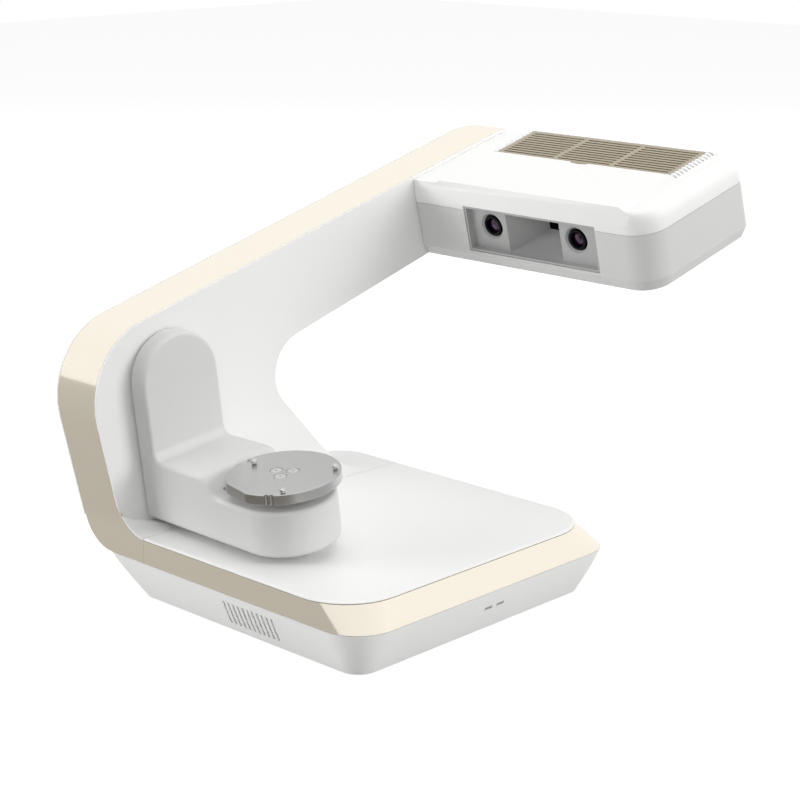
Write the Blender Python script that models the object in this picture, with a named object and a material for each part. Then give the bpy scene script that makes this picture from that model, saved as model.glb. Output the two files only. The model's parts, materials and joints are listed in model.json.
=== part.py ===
"""Desktop 3D scanner: a base, a C-shaped arm, a scan head and a tilting arm with a turntable.

Metres, +Z up. The scanner's length runs along X, with the head towards +X, and the arm stands on the
back edge, towards +Y. Run it with blender --background --python part.py or from the text editor.
"""
import math

import bmesh
import bpy
from mathutils import Matrix, Vector

# Fits and finish
GAP = 0.0003                    # between two pieces that touch
RUNNING = 0.00012               # between a shaft and its bore
OVERRUN = 0.004                 # how far a cutter passes the face that it cuts
ARC_STEP_DEG = 10.0             # turn between two points of an arc
ROUND_SIDES = 32

# Base: a tapered skirt, a gold band and a top cover
BASE_LENGTH = 0.2473            # along X, at the widest line
BAND_BOTTOM = 0.0292            # the widest line
BAND_HEIGHT = 0.0159
BAND_TAPER = 0.0095             # how far the band leans in, front and right
BAND_WALL = 0.0025
LIP_HEIGHT = 0.0015
LIP_ROUND = 0.0022
SKIRT_IN_LEFT = 0.0120          # how far the skirt's foot lies inside the widest line
SKIRT_IN_FRONT = 0.0120
SKIRT_IN_RIGHT = 0.0200
SKIRT_IN_BACK = 0.0140
SKIRT_BACK = 0.2350             # the skirt's rear edge at its top
SKIRT_WALL = 0.0030
SKIRT_CURVE = 1.15              # exponent of the skirt's bulge
CORNER_BOTTOM = 0.0140
CORNER_UNDER_ARM = 0.0030       # rear left corner of the skirt, at its top
CORNER_WIDEST = 0.0285
CORNER_TOP = 0.0389
CORNER_BACK = 0.0320
TOP_PLATE = 0.0034
PLATE_THICK = 0.0020
PLATE_RAISE = 0.0005
LEDGE_WIDTH = 0.0040
LEDGE_THICK = 0.0020
FOOT_HEIGHT = 0.0025            # rubber feet, below the skirt
FOOT_RADIUS = 0.0080
FOOT_INSET = 0.0280
FOOT_CHAMFER = 0.0008

# Vent slots on the left and indicator slots on the front
VENT_COUNT = 11
VENT_PITCH = 0.00444
VENT_WIDTH = 0.0020
VENT_MIDDLE = 0.1012            # along Y
VENT_LOW = 0.0061
VENT_HIGH = 0.0228
LIGHT_LENGTH = 0.0065
LIGHT_HEIGHT = 0.0014
LIGHT_LEVEL = 0.0170
LIGHT_MIDDLE = 0.1264           # along X, between the two slots
LIGHT_PITCH = 0.0112
LIGHT_DEPTH = 0.0080
LIGHT_RECESS = 0.0004

# Board in the base
BOARD_LENGTH = 0.1200
BOARD_WIDTH = 0.0800
BOARD_THICK = 0.0016
BOARD_X = 0.0600
BOARD_Y = 0.1000
POST_RADIUS = 0.0030
POST_HEIGHT = 0.0050
POST_INSET = 0.0060
CHIP_SIZE = 0.0160
CHIP_THICK = 0.0020
CAN_RADIUS = 0.0050
CAN_HEIGHT = 0.0110

# Port panel in the skirt's rear wall
PORT_X = 0.1050                 # middle of the panel
PORT_LENGTH = 0.0960
PORT_LOW = 0.0052
PORT_HIGH = 0.0248
PORT_WALL = 0.0018
PORT_FLOOR = 0.2120             # the panel's outer face, along Y
PORT_FLUSH = 0.0006
SOCKET_HEIGHT = 0.0110
SOCKET_DEPTH = 0.0130
SOCKET_PROUD = 0.0010
INLET_WIDTH = 0.0110
INLET_BORE = 0.0031
INLET_PIN = 0.0010
USB_WIDTH = 0.0120
USB_WALL = 0.0012
USB_SHIFT = -0.0300
TONGUE_WIDTH = 0.0056
TONGUE_HEIGHT = 0.0032
BORE_DEPTH = 0.0095
ROCKER_SHIFT = 0.0290
ROCKER_WIDTH = 0.0150
ROCKER_HEIGHT = 0.0090
ROCKER_FRAME = 0.0022
ROCKER_REACH = 0.0052
ROCKER_TILT_DEG = 8.0
ROCKER_PLAY = 0.0007

# C-arm: its side view is drawn in X and Z, its depth along Y
SEAM_Y = 0.1995                 # joint between the top cover and the arm's foot
WALL_FRONT = 0.22155
ARM_DEPTH = 0.04165
UNDER_RADIUS = 0.0300           # round lower back edge
KINK_HEIGHT = 0.0522
KINK_RADIUS = 0.0400
LEFT_LEAN_DEG = 12.97
HEAD_TILT_DEG = 14.34
TOP_LEVEL = 0.1733              # the arm's top edge, square to the head's tilt
TOP_RADIUS = 0.0530
ARM_REACH = 0.4380              # the arm's end, along the head's tilt
END_RADIUS = 0.0020
END_CORNER = 0.0180             # round back corner of the arm's end
UNDERSIDE_DEG = 15.9
ELBOW_X = 0.1165
ELBOW_Z = 0.1407
ELBOW_RADIUS = 0.0284
SLOPE_FOOT_X = 0.2010
SLOPE_FOOT_RADIUS = 0.0200
SHELL_WALL = 0.0030
RIBBON_THICK = 0.0020
RIBBON_LIP = 0.0015
RIBBON_BACKING = 0.0029
REAR_COVER_DEPTH = 0.0122
FRAME_THICK = 0.0030
FRAME_INSET = 0.0090
FRAME_STAND = 0.0145            # from the wall's face to the frame
BOSS_RADIUS = 0.0045
BOSS_SPREAD = 0.0180
BOSS_DROP = 0.0580
BOSS_LEFT = 0.0120
BOSS_LIFT = 0.0300
BOSS_UNDER_TOP = 0.0260
BOSS_SHARES = (0.42, 0.62, 0.80)
WINDOW_SHARES = (0.52, 0.71)
FRAME_WINDOW = 0.0120
CABLE_HOLE = 0.0300

# Scan head, in its tilted frame: s along the arm, y across, n up
HEAD_SETBACK = 0.1080           # from the arm's end back to the head's front
HEAD_LENGTH = 0.1145
HEAD_TOP_LENGTH = 0.1110
HEAD_SIDE = 0.0085              # near side, along Y
HEAD_BOTTOM = 0.1128
HEAD_PARTING = 0.15465
SHOULDER_LOW = 0.1610
SHOULDER_TOP = 0.1715
SHOULDER_WIDTH = 0.0120
PLATEAU_TOP = 0.1736
PLATEAU_SIDE = 0.0240           # from the head's near side to the plateau
PLATEAU_WALL_SIDE = 0.0257      # from the arm's wall to the plateau
PLATEAU_BEVEL = 0.0042
PLATEAU_LENGTH = 0.1085
FRONT_LEAN = 0.0026
HEAD_CORNER = 0.0220
HEAD_END_CORNER = 0.0080
HEAD_WALL_CORNER = 0.0015
HEAD_BEVEL_IN = 0.0040
HEAD_BEVEL_UP = 0.0080
HEAD_WALL = 0.0030
SHOULDER_SHARES = ((0.38, 0.05), (0.70, 0.22), (0.90, 0.52), (1.0, 1.0))   # rise, width

# Lens recess, windows and funnel
RECESS_MIDDLE = 0.1140
RECESS_LENGTH = 0.1200
RECESS_LOW = 0.1230
RECESS_HIGH = 0.1576
RECESS_DEPTH = 0.0055
BEZEL_WALL = 0.0015
BEZEL_THICK = 0.0022
WINDOW_MIDDLE = 0.1150
WINDOW_SPREAD = 0.0387
WINDOW_LEVEL = 0.1423
WINDOW_OUTER = 0.0100
WINDOW_INNER = 0.0081
FUNNEL_FRONT_HALF = 0.0245
FUNNEL_BACK_HALF = 0.0075
FUNNEL_BACK_LOW = 0.1342
FUNNEL_BACK_HIGH = 0.1502
FUNNEL_DEPTH = 0.0265
FUNNEL_WALL = 0.0014
BARREL_RADIUS = 0.0075
BARREL_WALL = 0.0018
BARREL_LENGTH = 0.0150
BARREL_RECESS = 0.0006
GLASS_RECESS = 0.0014
GLASS_THICK = 0.0030
GLASS_CROWN = 0.0012
CAMERA_SIZE = 0.0290
CAMERA_DEPTH = 0.0220
PROJECTOR_RADIUS = 0.0060
PROJECTOR_WIDTH = 0.0340
PROJECTOR_DEPTH = 0.0300
PROJECTOR_HEIGHT = 0.0260
BENCH_THICK = 0.0020
BENCH_INSET = 0.0240
BENCH_LEG = 0.0050
HEATSINK_DEPTH = 0.0140
HEATSINK_FINS = 8
FIN_SHARE = 0.5
HEAD_BOARD_WIDTH = 0.1300
HEAD_BOARD_HEIGHT = 0.0240
BRACKET_LENGTH = 0.0500
BRACKET_HEIGHT = 0.0100
BRACKET_REACH = 0.0240

# Grille and the fan under it
GRILLE_START = 0.0640           # from the head's front
GRILLE_LENGTH = 0.0440
GRILLE_THICK = 0.0020
GRILLE_SINK = 0.0003
GRILLE_LEDGE = 0.0025
GRILLE_END = 0.0025             # from the plateau's side to the grille's end
GRILLE_CHAMFER = 0.0010         # along the grille's front edge
SLOT_COUNT = 12
SLOT_WIDTH = 0.0016
SLOT_BRIDGE = 0.0040
SLOT_SPANS = 3
COMB_DEPTH = 0.0034
COMB_REACH = 0.0034             # how far the comb slots run past the plateau's side
NOTCH_LENGTH = 0.0165           # finger notch in front of the grille
NOTCH_WIDTH = 0.0026
NOTCH_MIDDLE = 0.1143           # along Y
FAN_SIZE = 0.0360
FAN_DEPTH = 0.0100
FAN_BORE = 0.0165
FAN_HUB = 0.0075
FAN_BLADES = 7
FAN_BLADE_THICK = 0.0009
FAN_CLEARANCE = 0.0008
FAN_SPOKE = 0.0022
BLADE_PITCH_DEG = 40.0

# Tilting arm, in its own frame: u across, y towards the wall, w up, from its pivot
PIVOT_X = 0.04247
PIVOT_Z = 0.14517
SWING_TILT_DEG = -6.79
SWING_WALL_GAP = 0.0020
UPRIGHT_RADIUS = 0.0318
UPRIGHT_THICK = 0.0132
SWING_DROP = 0.09175            # from the pivot to the foot's underside
DECK_DROP = 0.0480              # from the pivot to the foot's rear deck
RIM_DROP = 0.0599               # from the pivot to the rim under the turntable
DECK_END = 0.1605               # where the deck starts to step down, along Y
RIM_START = 0.1470
UPRIGHT_FILLET = 0.0065
STEP_TOP_ROUND = 0.0075
STEP_FOOT_ROUND = 0.0090
FOOT_END_RADIUS = 0.0334
SWING_EDGE = 0.0028
SWING_BOTTOM_EDGE = 0.0042
SWING_SHELL = 0.0030
SWING_COVER = 0.0020
SWING_COVER_INSET = 0.0056
SWING_BACK_INSET = 0.0024
SCOOP_CLEARANCE = 0.0019
SCOOP_STOP = 0.0003
DIMPLE_RADIUS = 0.0011          # small round hole at the foot of the step
DIMPLE_ACROSS = 0.0210          # from the foot's middle line
DIMPLE_Y = 0.1495
DIMPLE_DEPTH = 0.0018

# Turntable
TABLE_Y = 0.11524
TABLE_TOP_DROP = 0.04595        # from the pivot to the disc's top
TABLE_RADIUS = 0.0373
TABLE_THICK = 0.0070
TABLE_EDGE = 0.0005
FLAT_DISTANCE = 0.0357
FLAT_DEG = 169.3
REAR_FLAT_DISTANCE = 0.0358
REAR_FLAT_DEG = 118.0
GROOVE_DEG = 212.5
GROOVE_RADIUS = 0.0013
GROOVE_SPREAD_DEG = 5.0
REAR_NOTCH_WIDTH = 0.0080       # in the rim behind the rear pin
REAR_NOTCH_DEPTH = 0.0046
HUB_RADIUS = 0.0150
HUB_THICK = 0.0036
BOSS_RISE = 0.0026
BOSS_WIDE = 0.0140
BOSS_UNDER = 0.0030
TABLE_POST_SPREAD = 0.0110
PIN_SPREAD = 0.0228
PIN_FRONT = 0.0256
PIN_REAR = 0.0260
PIN_SHIFT = -0.0013
PIN_BALL = 0.0021
PIN_NECK = 0.0012
PIN_DEPTH = 0.0030
MAGNET_RING = 0.0064
MAGNET_RADIUS = 0.0039
MAGNET_THICK = 0.0020

# Shafts, bearings, pulleys and motors
SHAFT_RADIUS = 0.0040
BEARING_LIP = 0.0005
BEARING_RADIUS = 0.0110
BEARING_WIDTH = 0.0070
TABLE_BEARING_RADIUS = 0.0095
HOUSING_WALL = 0.0040
HOUSING_FLANGE = 0.0230
HOUSING_FLANGE_THICK = 0.0030
HOUSING_LENGTH = 0.0185
SWING_FLANGE = 0.0140
SWING_FLANGE_THICK = 0.0035
SWING_PULLEY = 0.0180
MOTOR_PULLEY = 0.0060
TABLE_PULLEY = 0.0120
TABLE_MOTOR_PULLEY = 0.0050
PULLEY_FLANGE = 0.0020
PULLEY_FLANGE_THICK = 0.0010
BELT_WIDTH = 0.0050
BELT_THICK = 0.0012
MOTOR_SIZE = 0.0400
MOTOR_DEPTH = 0.0160
MOTOR_CHAMFER = 0.0040
MOTOR_BOSS = 0.0110
MOTOR_SHAFT = 0.0025
MOTOR_X = 0.1040
MOTOR_Z = 0.1700
TABLE_MOTOR_SIZE = 0.0280
TABLE_MOTOR_DEPTH = 0.0110
TABLE_MOTOR_Y = 0.1800
TABLE_BELT_DROP = 0.0720

# Worked out from the sizes above
TOP_EDGE = BAND_BOTTOM + BAND_HEIGHT
BASE_TOP = TOP_EDGE + LIP_HEIGHT
ARM_BACK = WALL_FRONT + ARM_DEPTH
TILT = math.radians(HEAD_TILT_DEG)
HEAD_FRONT = ARM_REACH - HEAD_SETBACK
HEAD_END = HEAD_FRONT + HEAD_LENGTH
HEAD_FAR_SIDE = WALL_FRONT - GAP
SWING_BACK = WALL_FRONT - SWING_WALL_GAP
UPRIGHT_FRONT = SWING_BACK - UPRIGHT_THICK
ARM_SPLIT = ARM_BACK - REAR_COVER_DEPTH
FRAME_FRONT = WALL_FRONT + FRAME_STAND
PANEL = RECESS_DEPTH + HEAD_FRONT


def clear_scene():
    """Remove everything that the file starts with."""
    for thing in list(bpy.data.objects):
        bpy.data.objects.remove(thing, do_unlink=True)


# Colours and materials

def linear(hex_colour):
    """Turn an sRGB hex value into the linear colour that a shader takes."""
    parts = [int(hex_colour[i:i + 2], 16) / 255 for i in (0, 2, 4)]
    return [p / 12.92 if p <= 0.04045 else ((p + 0.055) / 1.055) ** 2.4 for p in parts] + [1.0]


def make_material(name, hex_colour, roughness, metallic=0.0):
    material = bpy.data.materials.new(name)
    material.use_nodes = True
    shader = material.node_tree.nodes["Principled BSDF"]
    shader.inputs["Base Color"].default_value = linear(hex_colour)
    shader.inputs["Roughness"].default_value = roughness
    shader.inputs["Metallic"].default_value = metallic
    return material


def make_materials():
    return {
        "white": make_material("white_plastic", "F1F1F0", 0.35),
        "gold": make_material("champagne_gold", "C9BFA9", 0.32, 0.6),
        "steel": make_material("brushed_steel", "CBCBCB", 0.28, 1.0),
        "sheet": make_material("galvanised_sheet", "A9ADB0", 0.45, 1.0),
        "black": make_material("black_plastic", "1B1B1C", 0.5),
        "rubber": make_material("rubber", "2A2A2A", 0.8),
        "glass": make_material("coated_glass", "2A1830", 0.05),
        "board": make_material("circuit_board", "1F5A38", 0.5),
        "alloy": make_material("cast_aluminium", "B4B6B8", 0.4, 1.0),
        "light": make_material("light_guide", "DCE6EC", 0.3),
    }


# Outlines

def turn_between(first, second):
    """Signed turn from one direction to the next, positive to the left."""
    return math.atan2(first.x * second.y - first.y * second.x, first.dot(second))


def offset_corner(before, here, after, inset_in, inset_out):
    """Where two edges meet once each has moved inward, to its left."""
    along, onward = (here - before).normalized(), (after - here).normalized()
    start = here + Vector((-along.y, along.x)) * inset_in
    other = here + Vector((-onward.y, onward.x)) * inset_out
    cross = along.x * onward.y - along.y * onward.x
    if abs(cross) < 1e-9:
        return start
    step = ((other - start).x * onward.y - (other - start).y * onward.x) / cross
    return start + along * step


def rounded(corners, radii, inset=0.0, closed=True):
    """Points of an outline, anticlockwise, with rounded corners, moved inward by inset.

    inset is one length, or a list with one for each edge. A convex radius shrinks with it and a
    concave one grows, so that offset outlines stay parallel. An open path keeps its two ends.
    """
    points = [Vector(corner) for corner in corners]
    count = len(points)
    insets = list(inset) if isinstance(inset, (list, tuple)) else [inset] * count
    outline = []
    for i, here in enumerate(points):
        if not closed and i in (0, count - 1):
            near = points[1] if i == 0 else points[count - 2]
            along = (near - here if i == 0 else here - near).normalized()
            outline.append(here + Vector((-along.y, along.x)) * insets[0 if i == 0 else count - 2])
            continue
        before, after = points[i - 1], points[(i + 1) % count]
        corner = offset_corner(before, here, after, insets[i - 1], insets[i])
        along, onward = (here - before).normalized(), (after - here).normalized()
        turn = turn_between(along, onward)
        shift = (insets[i - 1] + insets[i]) / 2
        if not radii[i]:
            outline.append(corner)
            continue
        radius = max(radii[i] - math.copysign(shift, turn), GAP)
        reach = radius * math.tan(abs(turn) / 2)
        side = Vector((-along.y, along.x)) * math.copysign(radius, turn)
        centre = corner - along * reach + side
        steps = max(1, math.ceil(math.degrees(abs(turn)) / ARC_STEP_DEG))
        arm = -side
        for k in range(steps + 1):
            spin = Matrix.Rotation(turn * k / steps, 2)
            outline.append(centre + spin @ arm)
    return outline


def round_rectangle(x0, x1, y0, y1, radii):
    """A rectangle with its own radius at each corner: low-low, high-low, high-high, low-high."""
    return rounded([(x0, y0), (x1, y0), (x1, y1), (x0, y1)], radii)


def circle(centre, radius, sides=ROUND_SIDES):
    turn = math.tau / sides
    return [Vector((centre[0] + radius * math.cos(turn * k), centre[1] + radius * math.sin(turn * k)))
            for k in range(sides)]


# Solids. Each is made at the origin of its own frame, and its frame places it later

PLANES = {
    "xy": lambda a, b, c: (a, b, c),
    "xz": lambda a, b, c: (a, c, b),
    "yz": lambda a, b, c: (c, a, b),
}


def new_solid(name, bm):
    bmesh.ops.remove_doubles(bm, verts=bm.verts, dist=1e-7)
    bmesh.ops.recalc_face_normals(bm, faces=bm.faces)
    mesh = bpy.data.meshes.new(name)
    bm.to_mesh(mesh)
    bm.free()
    solid = bpy.data.objects.new(name, mesh)
    bpy.context.collection.objects.link(solid)
    return solid


def loft(rings, name="loft"):
    """Skin rings with equal point counts, each a list of 3D points, and cap both ends."""
    bm = bmesh.new()
    loops = [[bm.verts.new(point) for point in ring] for ring in rings]
    count = len(loops[0])
    for lower, upper in zip(loops, loops[1:]):
        for k in range(count):
            after = (k + 1) % count
            bm.faces.new((lower[k], lower[after], upper[after], upper[k]))
    sides = list(bm.faces)
    bmesh.ops.triangulate(bm, faces=sides)
    bm.faces.new(loops[0])
    bm.faces.new(loops[-1])
    return new_solid(name, bm)


def prism(outline, low, high, plane="xy", name="prism"):
    """Extrude a flat outline along the axis that its plane leaves."""
    place = PLANES[plane]
    bm = bmesh.new()
    ends = [[bm.verts.new(place(p[0], p[1], level)) for p in outline] for level in (low, high)]
    count = len(outline)
    for k in range(count):
        after = (k + 1) % count
        bm.faces.new((ends[0][k], ends[0][after], ends[1][after], ends[1][k]))
    bm.faces.new(ends[0])
    bm.faces.new(ends[1])
    return new_solid(name, bm)


def block(x, y, z, name="block"):
    """A box from three pairs of limits."""
    corners = [(x[0], y[0]), (x[1], y[0]), (x[1], y[1]), (x[0], y[1])]
    return prism(corners, z[0], z[1], "xy", name)


def turned(profile, name="turned", sides=ROUND_SIDES, axis="z"):
    """Revolve a closed profile of (radius, level) points about its axis."""
    bm = bmesh.new()
    loops = []
    for k in range(sides):
        angle = math.tau * k / sides
        loops.append([(radius * math.cos(angle), radius * math.sin(angle), level)
                      for radius, level in profile])
    if axis == "y":
        loops = [[(a, c, b) for a, b, c in loop] for loop in loops]
    if axis == "x":
        loops = [[(c, a, b) for a, b, c in loop] for loop in loops]
    rows = [[bm.verts.new(point) for point in loop] for loop in loops]
    count = len(profile)
    for k in range(sides):
        here, beyond = rows[k], rows[(k + 1) % sides]
        for j in range(count):
            after = (j + 1) % count
            if profile[j][0] or profile[after][0]:
                bm.faces.new((here[j], here[after], beyond[after], beyond[j]))
    bmesh.ops.remove_doubles(bm, verts=bm.verts, dist=1e-7)
    bmesh.ops.dissolve_degenerate(bm, edges=bm.edges, dist=1e-7)
    return new_solid(name, bm)


def moved(solid, x=0.0, y=0.0, z=0.0):
    solid.data.transform(Matrix.Translation((x, y, z)))
    return solid


def rotated(solid, degrees, axis):
    solid.data.transform(Matrix.Rotation(math.radians(degrees), 4, axis))
    return solid


def joined(solids, name="joined"):
    """Put several solids that don't touch into one object, as one tool."""
    bm = bmesh.new()
    for solid in solids:
        bm.from_mesh(solid.data)
        bpy.data.objects.remove(solid, do_unlink=True)
    return new_solid(name, bm)


def combine(solid, tool, operation, keep_tool=False):
    """Run one exact Boolean and keep its result as the solid's mesh."""
    modifier = solid.modifiers.new(operation.lower(), "BOOLEAN")
    modifier.operation = operation
    modifier.solver = "EXACT"
    modifier.object = tool
    bpy.context.view_layer.update()
    graph = bpy.context.evaluated_depsgraph_get()
    result = bpy.data.meshes.new_from_object(solid.evaluated_get(graph))
    solid.modifiers.clear()
    solid.data = result
    if not keep_tool:
        bpy.data.objects.remove(tool, do_unlink=True)
    return solid


def cut(solid, tool, keep_tool=False):
    return combine(solid, tool, "DIFFERENCE", keep_tool)


def fuse(solid, tool):
    return combine(solid, tool, "UNION")


def keep(solid, tool, keep_tool=False):
    return combine(solid, tool, "INTERSECT", keep_tool)


def copy_of(solid, name="copy"):
    twin = bpy.data.objects.new(name, solid.data.copy())
    bpy.context.collection.objects.link(twin)
    return twin


def bevelled(solid, width, segments, wanted):
    """Round the sharp edges for which wanted(first, second) is true."""
    bm = bmesh.new()
    bm.from_mesh(solid.data)
    sharp = []
    for edge in bm.edges:
        if len(edge.link_faces) == 2 and edge.calc_face_angle() > math.radians(30):
            if wanted(edge.verts[0].co, edge.verts[1].co):
                sharp.append(edge)
    bmesh.ops.bevel(bm, geom=sharp, offset=width, segments=segments, profile=0.5, affect="EDGES",
                    clamp_overlap=True)
    bmesh.ops.recalc_face_normals(bm, faces=bm.faces)
    bm.to_mesh(solid.data)
    bm.free()
    return solid


# Frames: empties that place the pieces

def make_frame(name, parent=None, place=(0, 0, 0), turn=(0, 0, 0)):
    frame = bpy.data.objects.new(name, None)
    frame.empty_display_size = FOOT_INSET
    bpy.context.collection.objects.link(frame)
    frame.parent = parent
    frame.location = place
    frame.rotation_euler = turn
    return frame


def tilted(s, n):
    """A point of the head's frame as X and Z of the base's frame."""
    return (s * math.cos(TILT) - n * math.sin(TILT), s * math.sin(TILT) + n * math.cos(TILT))


def object_origin():
    """The middle of the whole scanner's footprint, on the surface that it stands on."""
    lean = math.radians(LEFT_LEAN_DEG)
    corner_x, corner_z = left_top_corner()
    turn = math.pi / 2 - TILT + lean
    reach = TOP_RADIUS * math.tan(turn / 2)
    centre_x = corner_x + math.sin(lean) * reach + math.cos(lean) * TOP_RADIUS
    left = centre_x - TOP_RADIUS
    right = tilted(HEAD_END, HEAD_BOTTOM + HEAD_BEVEL_UP)[0]
    return Vector(((left + right) / 2, ARM_BACK / 2, -FOOT_HEIGHT))


def make_frames():
    base = make_frame("base_frame", None, -object_origin())
    head = make_frame("head_frame", base, (0, 0, 0), (0, -TILT, 0))
    swing = make_frame("swing_axis", base, (PIVOT_X, 0, PIVOT_Z), (0, math.radians(SWING_TILT_DEG), 0))
    table = make_frame("table_axis", swing, (0, TABLE_Y, -TABLE_TOP_DROP))
    rocker_y = PORT_FLOOR + SOCKET_PROUD
    return {
        "base": base, "head": head, "swing": swing, "table": table,
        "swing_motor": make_frame("swing_motor_axis", base, (MOTOR_X, 0, MOTOR_Z)),
        "table_motor": make_frame("table_motor_axis", swing, (0, TABLE_MOTOR_Y, -TABLE_BELT_DROP)),
        "rocker": make_frame("rocker_axis", base, (PORT_X + ROCKER_SHIFT, rocker_y, port_level()),
                             (0, 0, math.radians(-ROCKER_TILT_DEG))),
        "fan": make_frame("fan_axis", head, fan_place()),
    }


def finish(solid, name, material, frame, smooth_deg=32):
    """Name a piece, give it its material and hang it in its frame."""
    solid.name = name
    solid.data.name = name
    solid.data.materials.clear()
    solid.data.materials.append(material)
    for polygon in solid.data.polygons:
        polygon.material_index = 0
    solid.data.shade_smooth()
    solid.data.set_sharp_from_angle(angle=math.radians(smooth_deg))
    solid.parent = frame
    return solid


# Base

def skirt_in(level):
    """Share of the skirt's full taper that is left at a level."""
    return (1 - min(level, BAND_BOTTOM) / BAND_BOTTOM) ** SKIRT_CURVE if level > 0 else 1.0


def under_back(level, inset=0.0):
    """Rear limit of the arm's round lower back edge at a level."""
    drop = BAND_BOTTOM + UNDER_RADIUS - level
    radius = UNDER_RADIUS - inset
    return ARM_BACK - UNDER_RADIUS + math.sqrt(max(radius ** 2 - max(drop, 0) ** 2, 0))


def skirt_ring(level, inset=0.0, at=None):
    """Outline of the skirt at a level."""
    left_in = skirt_in(level)
    share = min(max(level, 0) / BAND_BOTTOM, 1)
    radius = CORNER_BOTTOM + (CORNER_WIDEST - CORNER_BOTTOM) * share
    rear_left = CORNER_BOTTOM + (CORNER_UNDER_ARM - CORNER_BOTTOM) * share
    outline = rounded(
        [(SKIRT_IN_LEFT * left_in, SKIRT_IN_FRONT * left_in),
         (BASE_LENGTH - SKIRT_IN_RIGHT * left_in, SKIRT_IN_FRONT * left_in),
         (BASE_LENGTH - SKIRT_IN_RIGHT * left_in, SKIRT_BACK - SKIRT_IN_BACK * left_in),
         (SKIRT_IN_LEFT * left_in, SKIRT_BACK - SKIRT_IN_BACK * left_in)],
        [radius, radius, radius, rear_left], inset)
    return [(p.x, p.y, level if at is None else at) for p in outline]


def band_ring(level, inset=0.0, at=None, back_in=None):
    """Outline of the band at a level. It leans in at the front and the right."""
    share = min(max((level - BAND_BOTTOM) / BAND_HEIGHT, 0), 1)
    lean = BAND_TAPER * share
    radius = CORNER_WIDEST + (CORNER_TOP - CORNER_WIDEST) * share
    back = under_back(level)
    insets = [inset, inset, inset if back_in is None else back_in, inset]
    outline = rounded(
        [(0, lean), (BASE_LENGTH - lean, lean), (BASE_LENGTH - lean, back), (0, back)],
        [radius, radius, CORNER_BACK, CORNER_BACK], insets)
    return [(p.x, p.y, level if at is None else at) for p in outline]


def band_levels():
    """Levels of the band's sections. They follow the arm's round lower back edge."""
    low, high = BAND_BOTTOM + GAP / 2, TOP_EDGE - GAP / 2
    turns = [math.radians(ARC_STEP_DEG * k) for k in range(1, 9)]
    arc = [BAND_BOTTOM + UNDER_RADIUS * (1 - math.cos(turn)) for turn in turns]
    return [low] + [level for level in arc if low + GAP < level < high - GAP] + [high]


def band_hole(grow=0.0):
    """What the band surrounds. Grown, it is the shape of what stands inside the band."""
    levels = band_levels()
    rings = []
    for k, level in enumerate([levels[0]] + levels + [levels[-1]]):
        back_in = under_back(level) - under_back(level, BAND_WALL) + grow
        past = -OVERRUN if k == 0 else OVERRUN if k == len(levels) + 1 else 0
        rings.append(band_ring(level, BAND_WALL + grow, level + grow + past, back_in))
    return loft(rings)


def make_lower_housing(mats, frames):
    top = BAND_BOTTOM - GAP / 2
    shares = (0, 0.12, 0.28, 0.46, 0.66, 0.84)
    levels = [top * share for share in shares] + [top]
    body = loft([skirt_ring(level) for level in levels], "lower_housing")
    shelf = PLATE_RAISE + PLATE_THICK + GAP
    inside = [skirt_ring(0, SKIRT_WALL, -OVERRUN), skirt_ring(shelf, SKIRT_WALL),
              skirt_ring(shelf, SKIRT_WALL + LEDGE_WIDTH),
              skirt_ring(shelf + LEDGE_THICK, SKIRT_WALL + LEDGE_WIDTH),
              skirt_ring(shelf + LEDGE_THICK, SKIRT_WALL)]
    inside += [skirt_ring(level, SKIRT_WALL) for level in levels[2:]]
    inside.append(skirt_ring(top, SKIRT_WALL, top + OVERRUN))
    cut(body, loft(inside))
    reach = SKIRT_IN_LEFT + SKIRT_WALL + OVERRUN
    first = VENT_MIDDLE - VENT_PITCH * (VENT_COUNT - 1) / 2
    slots = []
    for k in range(VENT_COUNT):
        y = first + VENT_PITCH * k
        slots.append(block((-OVERRUN, reach), (y - VENT_WIDTH / 2, y + VENT_WIDTH / 2),
                           (VENT_LOW, VENT_HIGH)))
    cut(body, joined(slots))
    lights = []
    for side in (-1, 1):
        lights.append(light_block(side, GAP, -OVERRUN, SKIRT_IN_FRONT + SKIRT_WALL))
    cut(body, joined(lights))
    x, z = port_limits(GAP)
    cut(body, block(x, (PORT_FLOOR, SKIRT_BACK + OVERRUN), z))
    finish(body, "lower_housing", mats["white"], frames["base"])


def light_block(side, grow, front, back):
    x = LIGHT_MIDDLE + side * LIGHT_PITCH / 2
    half = LIGHT_LENGTH / 2 + grow
    tall = LIGHT_HEIGHT / 2 + grow
    return block((x - half, x + half), (front, back), (LIGHT_LEVEL - tall, LIGHT_LEVEL + tall))


def make_indicator_lights(mats, frames):
    """Two light guides that end just inside their slots."""
    face = SKIRT_IN_FRONT * skirt_in(LIGHT_LEVEL) + LIGHT_RECESS
    for side, name in ((-1, "indicator_light_left"), (1, "indicator_light_right")):
        guide = light_block(side, 0, face + LIGHT_HEIGHT / 2, face + LIGHT_DEPTH)
        finish(guide, name, mats["light"], frames["base"])


def make_bottom_plate(mats, frames):
    low, high = PLATE_RAISE, PLATE_RAISE + PLATE_THICK
    inset = SKIRT_WALL + GAP
    plate = loft([skirt_ring(low, inset), skirt_ring(high, inset)], "bottom_plate")
    posts = []
    for x in (BOARD_X + POST_INSET, BOARD_X + BOARD_LENGTH - POST_INSET):
        for y in (BOARD_Y + POST_INSET, BOARD_Y + BOARD_WIDTH - POST_INSET):
            posts.append(prism(circle((x, y), POST_RADIUS, 16), high - PLATE_THICK / 2, high + POST_HEIGHT))
    fuse(plate, joined(posts))
    finish(plate, "bottom_plate", mats["sheet"], frames["base"])


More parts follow.
